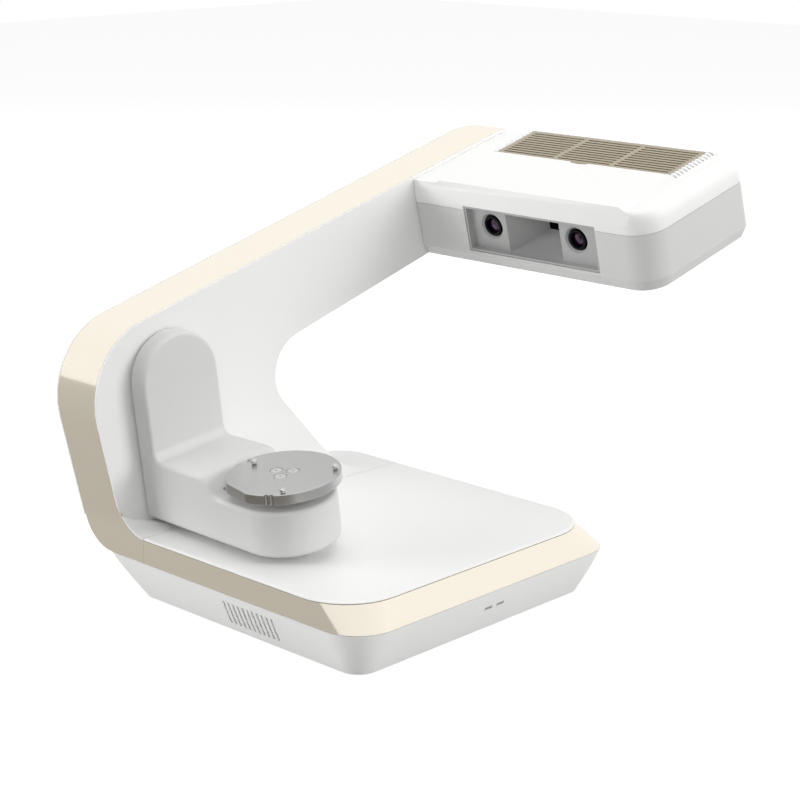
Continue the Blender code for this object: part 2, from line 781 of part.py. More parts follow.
def make_feet(mats, frames):
    """Four rubber feet with a chamfered edge, under the bottom plate."""
    top = PLATE_RAISE - GAP
    profile = [(0, -FOOT_HEIGHT), (FOOT_RADIUS - FOOT_CHAMFER, -FOOT_HEIGHT),
               (FOOT_RADIUS, -FOOT_HEIGHT + FOOT_CHAMFER), (FOOT_RADIUS, top), (0, top)]
    right = BASE_LENGTH - SKIRT_IN_RIGHT - FOOT_INSET
    rear = SKIRT_BACK - SKIRT_IN_BACK - FOOT_INSET
    places = {"foot_front_left": (SKIRT_IN_LEFT + FOOT_INSET, SKIRT_IN_FRONT + FOOT_INSET),
              "foot_front_right": (right, SKIRT_IN_FRONT + FOOT_INSET),
              "foot_rear_left": (SKIRT_IN_LEFT + FOOT_INSET, rear),
              "foot_rear_right": (right, rear)}
    for name, (x, y) in places.items():
        finish(moved(turned(profile, name, 24), x, y), name, mats["rubber"], frames["base"])


def make_main_board(mats, frames):
    low = PLATE_RAISE + PLATE_THICK + POST_HEIGHT + GAP
    high = low + BOARD_THICK
    x0, x1 = BOARD_X, BOARD_X + BOARD_LENGTH
    y0, y1 = BOARD_Y, BOARD_Y + BOARD_WIDTH
    board = block((x0, x1), (y0, y1), (low, high), "main_board")
    sunk = high - BOARD_THICK / 2
    middle_x, middle_y = (x0 + x1) / 2, (y0 + y1) / 2
    parts = [block((middle_x - CHIP_SIZE / 2, middle_x + CHIP_SIZE / 2),
                   (middle_y - CHIP_SIZE / 2, middle_y + CHIP_SIZE / 2), (sunk, high + CHIP_THICK))]
    for k in range(3):
        x = x0 + CHIP_SIZE + k * CAN_RADIUS * 3
        parts.append(prism(circle((x, y1 - CHIP_SIZE), CAN_RADIUS, 16), sunk, high + CAN_HEIGHT))
    parts.append(block((x1 - CHIP_SIZE, x1 - POST_INSET), (y0 + CHIP_SIZE, y1 - CHIP_SIZE),
                       (sunk, high + CAN_HEIGHT / 2)))
    fuse(board, joined(parts))
    finish(board, "main_board", mats["board"], frames["base"])


def port_limits(grow=0.0):
    return ((PORT_X - PORT_LENGTH / 2 - grow, PORT_X + PORT_LENGTH / 2 + grow),
            (PORT_LOW - grow, PORT_HIGH + grow))


def port_level():
    return (PORT_LOW + PORT_HIGH) / 2


def make_port_panel(mats, frames):
    """A tray in the skirt's rear wall, with openings for the two sockets and the switch."""
    x, z = port_limits()
    back = SKIRT_BACK + OVERRUN
    tray = block(x, (PORT_FLOOR - PORT_WALL, back), z, "port_panel")
    shares = (0, 0.28, 0.5, 0.75, 1)
    rings = [skirt_ring(BAND_BOTTOM * share, PORT_FLUSH) for share in shares]
    keep(tray, loft(rings))
    inner_x, inner_z = port_limits(-PORT_WALL)
    cut(tray, block(inner_x, (PORT_FLOOR, back), inner_z))
    level = port_level()
    openings = []
    for shift, width, height in ((0, INLET_WIDTH, SOCKET_HEIGHT),
                                 (USB_SHIFT, USB_WIDTH, SOCKET_HEIGHT),
                                 (ROCKER_SHIFT, ROCKER_WIDTH + ROCKER_FRAME, ROCKER_HEIGHT + ROCKER_FRAME)):
        half, tall = width / 2 + GAP, height / 2 + GAP
        openings.append(block((PORT_X + shift - half, PORT_X + shift + half),
                              (PORT_FLOOR - PORT_WALL - OVERRUN, PORT_FLOOR + OVERRUN),
                              (level - tall, level + tall)))
    cut(tray, joined(openings))
    finish(tray, "port_panel", mats["black"], frames["base"])


def make_sockets(mats, frames):
    """The power inlet with its pin, and the data socket with its tongue."""
    level = port_level()
    face = PORT_FLOOR + SOCKET_PROUD
    inner = face - SOCKET_DEPTH
    floor = face - BORE_DEPTH
    tall = SOCKET_HEIGHT / 2
    x = PORT_X
    inlet = block((x - INLET_WIDTH / 2, x + INLET_WIDTH / 2), (inner, face), (level - tall, level + tall))
    cut(inlet, prism(circle((x, level), INLET_BORE, 24), floor, face + OVERRUN, "xz"))
    fuse(inlet, prism(circle((x, level), INLET_PIN, 12), (floor + inner) / 2, face - SOCKET_PROUD, "xz"))
    finish(inlet, "dc_inlet", mats["black"], frames["base"])
    x = PORT_X + USB_SHIFT
    half = USB_WIDTH / 2
    socket = block((x - half, x + half), (inner, face), (level - tall, level + tall))
    cut(socket, block((x - half + USB_WALL, x + half - USB_WALL), (floor, face + OVERRUN),
                      (level - tall + USB_WALL, level + tall - USB_WALL)))
    fuse(socket, block((x - TONGUE_WIDTH / 2, x + TONGUE_WIDTH / 2),
                       ((floor + inner) / 2, face - SOCKET_PROUD),
                       (level - TONGUE_HEIGHT / 2, level + TONGUE_HEIGHT / 2)))
    finish(socket, "usb_socket", mats["sheet"], frames["base"])


def make_power_switch(mats, frames):
    """A frame in the port panel and the rocker that tips in it about its upright axis."""
    level = port_level()
    x = PORT_X + ROCKER_SHIFT
    half, tall = ROCKER_WIDTH / 2, ROCKER_HEIGHT / 2
    grow = ROCKER_FRAME / 2
    face = PORT_FLOOR + SOCKET_PROUD
    inner = face - SOCKET_DEPTH
    frame = block((x - half - grow, x + half + grow), (inner, face),
                  (level - tall - grow, level + tall + grow))
    cut(frame, block((x - half, x + half), (face - SOCKET_DEPTH * 0.75, face + OVERRUN),
                     (level - tall, level + tall)))
    finish(frame, "rocker_frame", mats["black"], frames["base"])
    wide = half - ROCKER_PLAY
    slope = math.tan(math.radians(ROCKER_TILT_DEG))
    depth = ROCKER_REACH
    raised = depth / 4 + wide * slope
    outline = [(-wide * 0.55, -depth), (wide * 0.55, -depth), (wide, -depth / 4), (wide, raised),
               (0, depth / 4), (-wide, raised), (-wide, -depth / 4)]
    rocker = prism(outline, -tall + ROCKER_PLAY, tall - ROCKER_PLAY)
    finish(rocker, "power_rocker", mats["black"], frames["rocker"])


def make_base_band(mats, frames):
    """The band round the base. Its left branch stops at the seam, where the arm's ribbon goes on."""
    band = loft([band_ring(level) for level in band_levels()], "base_band")
    cut(band, band_hole())
    corner = BASE_LENGTH - BAND_TAPER - CORNER_BACK
    cut(band, block((-OVERRUN, corner), (SEAM_Y - GAP / 2, ARM_BACK + OVERRUN), (0, BASE_TOP)))
    finish(band, "base_band", mats["gold"], frames["base"])


def make_base_top_cover(mats, frames):
    """The top panel: a plate inside the band, with a round lip on it."""
    under = TOP_EDGE + GAP / 2
    low = BASE_TOP - TOP_PLATE
    inner = BAND_WALL + GAP
    rings = [band_ring(TOP_EDGE, inner, low), band_ring(TOP_EDGE, inner, under)]
    for turn_deg in (0, 30, 60, 90):
        turn = math.radians(turn_deg)
        inset = LIP_ROUND * (1 - math.cos(turn))
        rise = (BASE_TOP - under) * math.sin(turn)
        rings.append(band_ring(TOP_EDGE, inset, under + rise))
    cover = loft(rings, "base_top_cover")
    cut(cover, block((-OVERRUN, BASE_LENGTH), (SEAM_Y - GAP / 2, ARM_BACK + OVERRUN),
                     (0, BASE_TOP + OVERRUN)))
    finish(cover, "base_top_cover", mats["white"], frames["base"])


# C-arm

def left_top_corner():
    """Where the arm's leaning left edge would meet its top edge."""
    lean = math.radians(LEFT_LEAN_DEG)
    run = (TOP_LEVEL - KINK_HEIGHT * math.cos(TILT)) / math.cos(lean - TILT)
    return (-run * math.sin(lean), KINK_HEIGHT + run * math.cos(lean))


def arm_outline(inset=0.0):
    """Side view of the arm, anticlockwise from the lower left corner."""
    bottom = BAND_BOTTOM + GAP / 2
    top_run = BASE_LENGTH - BAND_TAPER
    slope = math.radians(UNDERSIDE_DEG)
    start = ELBOW_X * math.cos(TILT) + ELBOW_Z * math.sin(TILT)
    run = (ARM_REACH - start) / math.cos(slope - TILT)
    under_end = (ELBOW_X + run * math.cos(slope), ELBOW_Z + run * math.sin(slope))
    corners = [(0, bottom), (top_run, bottom), (top_run, BASE_TOP), (SLOPE_FOOT_X, BASE_TOP),
               (ELBOW_X, ELBOW_Z), under_end, tilted(ARM_REACH, TOP_LEVEL), left_top_corner(),
               (0, KINK_HEIGHT)]
    radii = [0, 0, LIP_HEIGHT, SLOPE_FOOT_RADIUS, ELBOW_RADIUS, END_RADIUS, END_RADIUS, TOP_RADIUS,
             KINK_RADIUS]
    return rounded(corners, radii, inset)


def ribbon_outline(outer, inner):
    """A strip along the arm's top and left edges, between two insets."""
    beyond = tilted(ARM_REACH + OVERRUN, TOP_LEVEL)
    path = [beyond, left_top_corner(), (0, KINK_HEIGHT), (0, BAND_BOTTOM - OVERRUN)]
    radii = [0, TOP_RADIUS, KINK_RADIUS, 0]
    outside = rounded(path, radii, outer, closed=False)
    inside = rounded(path, radii, inner, closed=False)
    return outside + inside[::-1]


def arm_side(x, wall_in=0.0, back_in=0.0, floor_in=0.0, start=0.0):
    """The arm seen from its end: its foot, the fillet up to the wall, the back and its round lower edge."""
    first = SEAM_Y + GAP / 2 - start
    low = BAND_BOTTOM
    high = tilted(ARM_REACH, TOP_LEVEL)[1] + OVERRUN
    corners = [(first, low), (ARM_BACK, low), (ARM_BACK, high), (WALL_FRONT, high),
               (WALL_FRONT, BASE_TOP), (first, BASE_TOP)]
    fillet = WALL_FRONT - SEAM_Y - GAP
    radii = [0, UNDER_RADIUS, 0, 0, fillet, 0]
    insets = [floor_in, back_in, 0, wall_in, wall_in, 0]
    return prism(rounded(corners, radii, insets), x[0], x[1], "yz", "arm_side")


def scoop(grow=0.0):
    """The round space that the tilting arm's foot sweeps through, in front of the wall."""
    corner = math.hypot(UPRIGHT_RADIUS - SWING_BOTTOM_EDGE, SWING_DROP - SWING_BOTTOM_EDGE)
    radius = corner + SWING_BOTTOM_EDGE + SCOOP_CLEARANCE + grow
    outline = circle((PIVOT_X, PIVOT_Z), radius, 72)
    return prism(outline, SEAM_Y - OVERRUN - grow, WALL_FRONT - SCOOP_STOP + grow, "xz", "scoop")


def in_head(solid):
    """Turn a solid drawn in the head's frame into the base's frame."""
    solid.data.transform(Matrix.Rotation(-TILT, 4, "Y"))
    return solid


def end_corner(inset=0.0):
    """What lies outside the round back corner of the arm's end."""
    end, back = ARM_REACH - inset, ARM_BACK - inset
    radius = END_CORNER - inset
    centre = Vector((end - radius, back - radius))
    arc = [centre + Vector((math.cos(turn), math.sin(turn))) * radius
           for turn in (math.radians(90 - ARC_STEP_DEG * k) for k in range(10))]
    out = OVERRUN + inset
    outline = [Vector((end + out, back - radius)), Vector((end + out, back + out)),
               Vector((end - radius, back + out))] + arc
    return in_head(prism(outline, 0, TOP_LEVEL + out, "xy", "end_corner"))


def end_strip(inset):
    """What lies past the arm's end, moved inward by inset."""
    return in_head(block((ARM_REACH - inset, ARM_REACH + OVERRUN * 2), (0, ARM_BACK + OVERRUN),
                         (0, TOP_LEVEL + OVERRUN)))


def foot_corner():
    """What lies outside the round back corner of the arm's foot, above the band."""
    right, back = BASE_LENGTH - BAND_TAPER, under_back(TOP_EDGE)
    centre = Vector((right - CORNER_BACK, back - CORNER_BACK))
    arc = [centre + Vector((math.cos(turn), math.sin(turn))) * CORNER_BACK
           for turn in (math.radians(90 - ARC_STEP_DEG * k) for k in range(10))]
    outline = [Vector((right + OVERRUN, centre.y)), Vector((right + OVERRUN, ARM_BACK + OVERRUN)),
               Vector((centre.x, ARM_BACK + OVERRUN))] + arc
    return prism(outline, 0, BASE_TOP + OVERRUN, "xy", "foot_corner")


def band_zone():
    """The room that the band takes round the foot's right corner."""
    corner = BASE_LENGTH - BAND_TAPER - CORNER_BACK - GAP
    zone = block((corner, BASE_LENGTH + OVERRUN), (0, ARM_BACK + OVERRUN),
                 (BAND_BOTTOM - OVERRUN, TOP_EDGE + GAP / 2))
    return cut(zone, band_hole(GAP))


def arm_limits():
    return (-TOP_RADIUS, ARM_REACH + OVERRUN)


def make_arm_solid():
    """The whole arm's outside and hollow, before it is split into its two shells."""
    arm = prism(arm_outline(), SEAM_Y, ARM_BACK, "xz", "arm")
    keep(arm, arm_side(arm_limits()))
    cut(arm, foot_corner())
    cut(arm, end_corner())
    cut(arm, band_zone())
    cut(arm, scoop())
    rebate = prism(ribbon_outline(-OVERRUN, RIBBON_THICK + GAP), SEAM_Y - OVERRUN, ARM_BACK, "xz", "rebate")
    lip = RIBBON_LIP - GAP / 2
    keep(rebate, arm_side(arm_limits(), lip, lip, -OVERRUN, OVERRUN))
    cut(rebate, end_corner(lip))
    cut(rebate, end_strip(lip))
    cut(arm, rebate)
    hollow = prism(arm_outline(RIBBON_THICK + GAP + RIBBON_BACKING), SEAM_Y, ARM_BACK, "xz", "hollow")
    keep(hollow, arm_side(arm_limits(), SHELL_WALL, SHELL_WALL, SHELL_WALL, -SHELL_WALL))
    cut(hollow, scoop(SHELL_WALL))
    cut(hollow, end_corner(SHELL_WALL))
    cut(arm, hollow)
    return arm


def boss_places():
    """Where the arm's frame stands on the front shell: three by the pivot, three along the arm."""
    places = [(PIVOT_X - BOSS_SPREAD, PIVOT_Z - BOSS_DROP), (PIVOT_X + BOSS_SPREAD, PIVOT_Z - BOSS_DROP),
              (PIVOT_X - BOSS_LEFT, PIVOT_Z + BOSS_LIFT)]
    places += [tilted(ARM_REACH * share, TOP_LEVEL - BOSS_UNDER_TOP) for share in BOSS_SHARES]
    return places


def make_arm_shells(mats, frames):
    """The front shell, with the foot, the bosses and the bearing hole, and the rear cover."""
    arm = make_arm_solid()
    rear = copy_of(arm)
    low_x, high_x = arm_limits()
    cut(rear, block((low_x, high_x), (0, ARM_SPLIT + GAP / 2), (0, ARM_REACH)))
    finish(rear, "arm_rear_cover", mats["white"], frames["base"])
    cut(arm, block((low_x, high_x), (ARM_SPLIT - GAP / 2, ARM_BACK + OVERRUN), (0, ARM_REACH)))
    inner = WALL_FRONT + SHELL_WALL
    bosses = [prism(circle(place, BOSS_RADIUS, 16), inner - SHELL_WALL / 2, FRAME_FRONT - GAP, "xz")
              for place in boss_places()]
    fuse(arm, joined(bosses))
    shaft_hole = prism(circle((PIVOT_X, PIVOT_Z), SHAFT_RADIUS * 1.5), SEAM_Y, inner + OVERRUN, "xz")
    cut(arm, shaft_hole)
    middle = BASE_LENGTH / 3
    cut(arm, block((middle, middle + CABLE_HOLE), (SEAM_Y + SHELL_WALL * 2, WALL_FRONT),
                   (BAND_BOTTOM - OVERRUN, BAND_BOTTOM + RIBBON_THICK + RIBBON_BACKING + OVERRUN)))
    s, n = bracket_limits()
    cut(arm, in_head(block((s[0] - GAP, s[1] + GAP), (SEAM_Y, inner + OVERRUN), (n[0] - GAP, n[1] + GAP))))
    finish(arm, "arm_front_shell", mats["white"], frames["base"])


def make_arm_band(mats, frames):
    """The gold ribbon let into the arm's outer edge, with a thin white lip left on each side."""
    ribbon = prism(ribbon_outline(0, RIBBON_THICK), SEAM_Y, ARM_BACK, "xz", "arm_band")
    lip = RIBBON_LIP + GAP / 2
    keep(ribbon, arm_side(arm_limits(), lip, lip))
    cut(ribbon, end_corner(lip))
    cut(ribbon, end_strip(lip))
    cut(ribbon, scoop())
    finish(ribbon, "arm_band", mats["gold"], frames["base"])


def make_arm_frame(mats, frames):
    """A thick plate on the bosses. It carries the bearings, the motor and the head's bracket."""
    slope = math.radians(UNDERSIDE_DEG)
    start = ELBOW_X * math.cos(TILT) + ELBOW_Z * math.sin(TILT)
    run = (ARM_REACH - start) / math.cos(slope - TILT)
    under_end = (ELBOW_X + run * math.cos(slope), ELBOW_Z + run * math.sin(slope))
    corners = [(0, BASE_TOP), (SLOPE_FOOT_X, BASE_TOP), (ELBOW_X, ELBOW_Z), under_end,
               tilted(ARM_REACH - END_CORNER, TOP_LEVEL), left_top_corner(), (0, KINK_HEIGHT)]
    radii = [0, SLOPE_FOOT_RADIUS, ELBOW_RADIUS, END_RADIUS, END_RADIUS, TOP_RADIUS, KINK_RADIUS]
    back = FRAME_FRONT + FRAME_THICK
    plate = prism(rounded(corners, radii, FRAME_INSET), FRAME_FRONT, back, "xz", "arm_frame")
    holes = [prism(circle((PIVOT_X, PIVOT_Z), BEARING_RADIUS + HOUSING_WALL + GAP),
                   FRAME_FRONT - OVERRUN, back + OVERRUN, "xz"),
             prism(circle((MOTOR_X, MOTOR_Z), MOTOR_BOSS + GAP),
                   FRAME_FRONT - OVERRUN, back + OVERRUN, "xz")]
    for share in WINDOW_SHARES:
        place = tilted(ARM_REACH * share, TOP_LEVEL - BOSS_UNDER_TOP)
        holes.append(prism(circle(place, FRAME_WINDOW), FRAME_FRONT - OVERRUN, back + OVERRUN, "xz"))
    cut(plate, joined(holes))
    finish(plate, "arm_frame", mats["alloy"], frames["base"])


# What the tilting arm turns on

def bearing_start():
    return FRAME_FRONT + GAP + BEARING_LIP


def make_swing_bearings(mats, frames):
    first = FRAME_FRONT + GAP
    last = first + HOUSING_LENGTH
    flange = FRAME_FRONT + FRAME_THICK + GAP
    outer = BEARING_RADIUS + HOUSING_WALL
    middle_low = bearing_start() + BEARING_WIDTH + GAP
    middle_high = last - BEARING_LIP - BEARING_WIDTH - GAP
    stop = BEARING_RADIUS - BEARING_LIP * 4
    profile = [(BEARING_RADIUS, first), (outer, first), (outer, flange), (HOUSING_FLANGE, flange),
               (HOUSING_FLANGE, flange + HOUSING_FLANGE_THICK), (outer, flange + HOUSING_FLANGE_THICK),
               (outer, last), (BEARING_RADIUS, last), (BEARING_RADIUS, middle_high), (stop, middle_high),
               (stop, middle_low), (BEARING_RADIUS, middle_low)]
    housing = moved(turned(profile, "bearing_housing", axis="y"), PIVOT_X, 0, PIVOT_Z)
    finish(housing, "bearing_housing", mats["alloy"], frames["base"])
    bore, rim = SHAFT_RADIUS + RUNNING, BEARING_RADIUS - GAP
    starts = {"swing_bearing_front": bearing_start(),
              "swing_bearing_rear": last - BEARING_LIP - BEARING_WIDTH}
    for name, low in starts.items():
        ring = bearing_ring(bore, rim, low, BEARING_WIDTH, name, "y")
        finish(moved(ring, PIVOT_X, 0, PIVOT_Z), name, mats["steel"], frames["base"])


def bearing_ring(bore, rim, low, width, name, axis):
    """A ball bearing as one ring, with the shallow grooves of its two seals."""
    step = (rim - bore) / 4
    dip = width / 12
    profile = [(bore, low), (bore + step, low), (bore + step, low + dip), (rim - step, low + dip),
               (rim - step, low), (rim, low), (rim, low + width), (rim - step, low + width),
               (rim - step, low + width - dip), (bore + step, low + width - dip),
               (bore + step, low + width), (bore, low + width)]
    return turned(profile, name, axis=axis)


def pulley_profile(bore, radius, middle, width):
    """A flanged pulley: its groove holds the belt with a small clearance."""
    half = width / 2 + GAP
    edge = half + PULLEY_FLANGE_THICK
    rim = radius + PULLEY_FLANGE
    return [(bore, middle - edge), (rim, middle - edge), (rim, middle - half), (radius, middle - half),
            (radius, middle + half), (rim, middle + half), (rim, middle + edge), (bore, middle + edge)]


def belt_outline(first, first_radius, second, second_radius, gap):
    """A belt's outline round two pulleys: two arcs and the straight runs between them."""
    a, b = Vector(first), Vector(second)
    span = (b - a).length
    heading = math.atan2(b.y - a.y, b.x - a.x)
    lean = math.acos((first_radius - second_radius) / span)
    points = []
    for centre, radius, start, end in ((b, second_radius, -lean, lean),
                                       (a, first_radius, lean, math.tau - lean)):
        steps = max(6, math.ceil(math.degrees(end - start) / 15))
        for k in range(steps + 1):
            turn = heading + start + (end - start) * k / steps
            points.append(centre + Vector((math.cos(turn), math.sin(turn))) * (radius + gap))
    return points


def make_belt(name, first, first_radius, second, second_radius, low, plane, mats, frame):
    room = GAP + (1 - math.cos(math.radians(8))) * first_radius
    inside = belt_outline(first, first_radius, second, second_radius, room)
    outside = belt_outline(first, first_radius, second, second_radius, room + BELT_THICK)
    belt = prism(outside, low, low + BELT_WIDTH, plane, name)
    cut(belt, prism(inside, low - OVERRUN, low + BELT_WIDTH + OVERRUN, plane))
    finish(belt, name, mats["rubber"], frame)


def belt_middle():
    """Middle of the tilting arm's belt, between the wall and the frame."""
    return (WALL_FRONT + SHELL_WALL + FRAME_FRONT) / 2


def motor_body(size, depth, low, boss, boss_rise, name, plane):
    """A square motor with chamfered corners, a round boss on its face and a bore for its shaft."""
    half, edge = size / 2, MOTOR_CHAMFER
    outline = [(-half + edge, -half), (half - edge, -half), (half, -half + edge), (half, half - edge),
               (half - edge, half), (-half + edge, half), (-half, half - edge), (-half, -half + edge)]
    body = prism(outline, low, low + depth, plane, name)
    if boss_rise:
        fuse(body, prism(circle((0, 0), boss), low - boss_rise, low + depth / 2, plane))
    bore = circle((0, 0), MOTOR_SHAFT + RUNNING)
    return body, bore


def make_swing_drive(mats, frames):
    """Motor, its pulley and the belt that turn the tilting arm's shaft."""
    low = FRAME_FRONT + FRAME_THICK + GAP
    body, bore = motor_body(MOTOR_SIZE, MOTOR_DEPTH, low, MOTOR_BOSS, FRAME_THICK, "swing_motor", "xz")
    cut(body, prism(bore, low - FRAME_THICK - OVERRUN, low + MOTOR_DEPTH * 0.75, "xz"))
    finish(moved(body, MOTOR_X, 0, MOTOR_Z), "swing_motor", mats["black"], frames["base"])
    middle = belt_middle()
    profile = pulley_profile(0, MOTOR_PULLEY, middle, BELT_WIDTH)
    pulley = turned(profile, "motor_pulley", 24, "y")
    reach = low + MOTOR_DEPTH * 0.7
    fuse(pulley, prism(circle((0, 0), MOTOR_SHAFT), middle, reach, "xz"))
    finish(pulley, "motor_pulley", mats["alloy"], frames["swing_motor"])
    make_belt("swing_belt", (PIVOT_X, PIVOT_Z), SWING_PULLEY, (MOTOR_X, MOTOR_Z), MOTOR_PULLEY,
              middle - BELT_WIDTH / 2, "xz", mats, frames["base"])


def make_swing_shaft(mats, frames):
    """The shaft with its flange inside the upright, and the pulley that is keyed to it."""
    plate = SWING_BACK - SWING_COVER - GAP * 2
    end = FRAME_FRONT + GAP + HOUSING_LENGTH
    profile = [(0, plate - SWING_FLANGE_THICK), (SWING_FLANGE, plate - SWING_FLANGE_THICK),
               (SWING_FLANGE, plate), (SHAFT_RADIUS, plate), (SHAFT_RADIUS, end), (0, end)]
    finish(turned(profile, "swing_shaft", axis="y"), "swing_shaft", mats["steel"], frames["swing"])
    profile = pulley_profile(SHAFT_RADIUS + GAP, SWING_PULLEY, belt_middle(), BELT_WIDTH)
    finish(turned(profile, "swing_pulley", axis="y"), "swing_pulley", mats["alloy"], frames["swing"])


# Tilting arm

def swing_plan(inset=0.0, back=None):
    """The foot from above: straight sides that open a little towards its round end."""
    rear = SWING_BACK if back is None else back
    half = UPRIGHT_RADIUS - inset
    radius = FOOT_END_RADIUS - inset
    knee = UPRIGHT_FRONT - UPRIGHT_FILLET
    steps = math.ceil(180 / ARC_STEP_DEG)
    arc = [(radius * math.cos(turn), TABLE_Y + radius * math.sin(turn))
           for turn in (math.pi + math.pi * k / steps for k in range(steps + 1))]
    return [(half, knee), (half, rear), (-half, rear), (-half, knee)] + arc


def swing_profile(inset=0.0, low=None, back=None):
    """The tilting arm from the side: foot, rim, step, deck, fillet and upright."""
    bottom = -SWING_DROP if low is None else low
    rear = SWING_BACK if back is None else back
    front = TABLE_Y - FOOT_END_RADIUS - OVERRUN
    top = UPRIGHT_RADIUS + OVERRUN
    corners = [(front, bottom), (rear, bottom), (rear, top), (UPRIGHT_FRONT, top),
               (UPRIGHT_FRONT, -DECK_DROP), (DECK_END, -DECK_DROP), (RIM_START, -RIM_DROP),
               (front, -RIM_DROP)]
    radii = [0, 0, 0, 0, UPRIGHT_FILLET, STEP_TOP_ROUND, STEP_FOOT_ROUND, 0]
    return rounded(corners, radii, [0, 0, 0, inset, inset, inset, inset, 0])


def arch_outline(inset, low):
    """The upright from the front: a round top on straight sides."""
    radius = UPRIGHT_RADIUS - inset
    steps = math.ceil(180 / ARC_STEP_DEG)
    arc = [(radius * math.cos(math.pi * k / steps), radius * math.sin(math.pi * k / steps))
           for k in range(steps + 1)]
    return [(-radius, low), (radius, low)] + arc


def above_arch(inset=0.0):
    """What lies outside the upright's round top."""
    radius = UPRIGHT_RADIUS - inset
    out = UPRIGHT_RADIUS + OVERRUN * 2
    steps = math.ceil(180 / ARC_STEP_DEG)
    arc = [(-radius * math.cos(math.pi * k / steps), radius * math.sin(math.pi * k / steps))
           for k in range(steps + 1)]
    outline = [(out, 0), (out, out), (-out, out), (-out, 0)] + arc
    return prism(outline, 0, ARM_BACK, "xz", "above_arch")


def swing_solid(inset=0.0, low=None, back=None):
    wide = UPRIGHT_RADIUS + OVERRUN
    solid = prism(swing_profile(inset, low, back), -wide, wide, "yz", "swing")
    bottom = -SWING_DROP if low is None else low
    keep(solid, prism(swing_plan(inset, back), bottom - OVERRUN, UPRIGHT_RADIUS + OVERRUN * 2))
    cut(solid, above_arch(inset))
    return solid


def make_swing_shell(mats, frames):
    """The L-shaped shell with its edges rounded, hollow from behind and from below."""
    shell = swing_solid()
    near = GAP / 3

    def front_edge(a, b):
        return max(a.y, b.y) < SWING_BACK - near and min(a.z, b.z) > -SWING_DROP + near

    def bottom_edge(a, b):
        return max(a.z, b.z) < -SWING_DROP + near and min(a.y, b.y) < SWING_BACK - near

    bevelled(shell, SWING_EDGE, 3, front_edge)
    bevelled(shell, SWING_BOTTOM_EDGE, 3, bottom_edge)
    floor = -SWING_DROP + SWING_COVER * 2 + SWING_BOTTOM_EDGE / 2
    cut(shell, swing_solid(SWING_SHELL, floor, SWING_BACK + OVERRUN))
    opening = [p for p in swing_plan(SWING_COVER_INSET, SWING_BACK - SWING_COVER_INSET)]
    cut(shell, prism(opening, -SWING_DROP - OVERRUN, floor + OVERRUN))
    cut(shell, prism(arch_outline(SWING_BACK_INSET, floor - OVERRUN / 2), SWING_BACK - SWING_COVER - GAP,
                     SWING_BACK + OVERRUN, "xz"))
    boss_top = -RIM_DROP + BOSS_RISE
    boss_low = -RIM_DROP - SWING_SHELL - BOSS_UNDER
    fuse(shell, prism(circle((0, TABLE_Y), BOSS_WIDE), boss_low, boss_top))
    seat = boss_top - BEARING_WIDTH - GAP
    cut(shell, prism(circle((0, TABLE_Y), TABLE_BEARING_RADIUS), seat, boss_top + OVERRUN))
    cut(shell, prism(circle((0, TABLE_Y), TABLE_BEARING_RADIUS - BEARING_LIP * 4), boss_low - OVERRUN,
                     seat + OVERRUN))
    posts = []
    for u in (-TABLE_POST_SPREAD, TABLE_POST_SPREAD):
        for y in (TABLE_MOTOR_Y - TABLE_POST_SPREAD, TABLE_MOTOR_Y + TABLE_POST_SPREAD):
            posts.append(prism(circle((u, y), POST_RADIUS, 12), table_motor_top() + GAP,
                               -DECK_DROP - SWING_SHELL / 2))
    fuse(shell, joined(posts))
    dimple = circle((-DIMPLE_ACROSS, DIMPLE_Y), DIMPLE_RADIUS, 12)
    cut(shell, prism(dimple, -RIM_DROP - DIMPLE_DEPTH, -DECK_DROP))
    finish(shell, "swing_shell", mats["white"], frames["swing"], 28)
    plate = prism(arch_outline(SWING_BACK_INSET + GAP, floor - OVERRUN / 2 + GAP), SWING_BACK - SWING_COVER,
                  SWING_BACK - GAP, "xz", "swing_back_plate")
    cut(plate, prism(circle((0, 0), SHAFT_RADIUS + GAP), SEAM_Y, ARM_BACK, "xz"))
    finish(plate, "swing_back_plate", mats["white"], frames["swing"])
    outline = swing_plan(SWING_COVER_INSET + GAP, SWING_BACK - SWING_COVER_INSET - GAP)
    cover = prism(outline, -SWING_DROP + GAP, -SWING_DROP + GAP + SWING_COVER, "xy", "swing_bottom_cover")
    finish(cover, "swing_bottom_cover", mats["white"], frames["swing"])


def table_motor_top():
    return -TABLE_BELT_DROP + BELT_WIDTH + TABLE_MOTOR_DEPTH


def make_table_drive(mats, frames):
    """Motor, pulleys, belt and bearing of the turntable, inside the foot."""
    low = table_motor_top() - TABLE_MOTOR_DEPTH
    body, bore = motor_body(TABLE_MOTOR_SIZE, TABLE_MOTOR_DEPTH, low, 0, 0, "table_motor", "xy")
    cut(body, prism(bore, low - OVERRUN, low + TABLE_MOTOR_DEPTH * 0.75))
    finish(moved(body, 0, TABLE_MOTOR_Y), "table_motor", mats["black"], frames["swing"])
    pulley = turned(pulley_profile(0, TABLE_MOTOR_PULLEY, 0, BELT_WIDTH), "table_motor_pulley", 24)
    reach = BELT_WIDTH + TABLE_MOTOR_DEPTH * 0.7
    fuse(pulley, prism(circle((0, 0), MOTOR_SHAFT), 0, reach))
    finish(pulley, "table_motor_pulley", mats["alloy"], frames["table_motor"])
    make_belt("table_belt", (0, TABLE_Y), TABLE_PULLEY, (0, TABLE_MOTOR_Y), TABLE_MOTOR_PULLEY,
              -TABLE_BELT_DROP - BELT_WIDTH / 2, "xy", mats, frames["swing"])
    seat = -RIM_DROP + BOSS_RISE - BEARING_WIDTH
    ring = bearing_ring(SHAFT_RADIUS + RUNNING, TABLE_BEARING_RADIUS - GAP, seat, BEARING_WIDTH - GAP,
                        "table_bearing", "z")
    finish(moved(ring, 0, TABLE_Y), "table_bearing", mats["steel"], frames["swing"])


# Turntable, in its own frame: its axis is up and its top is at zero

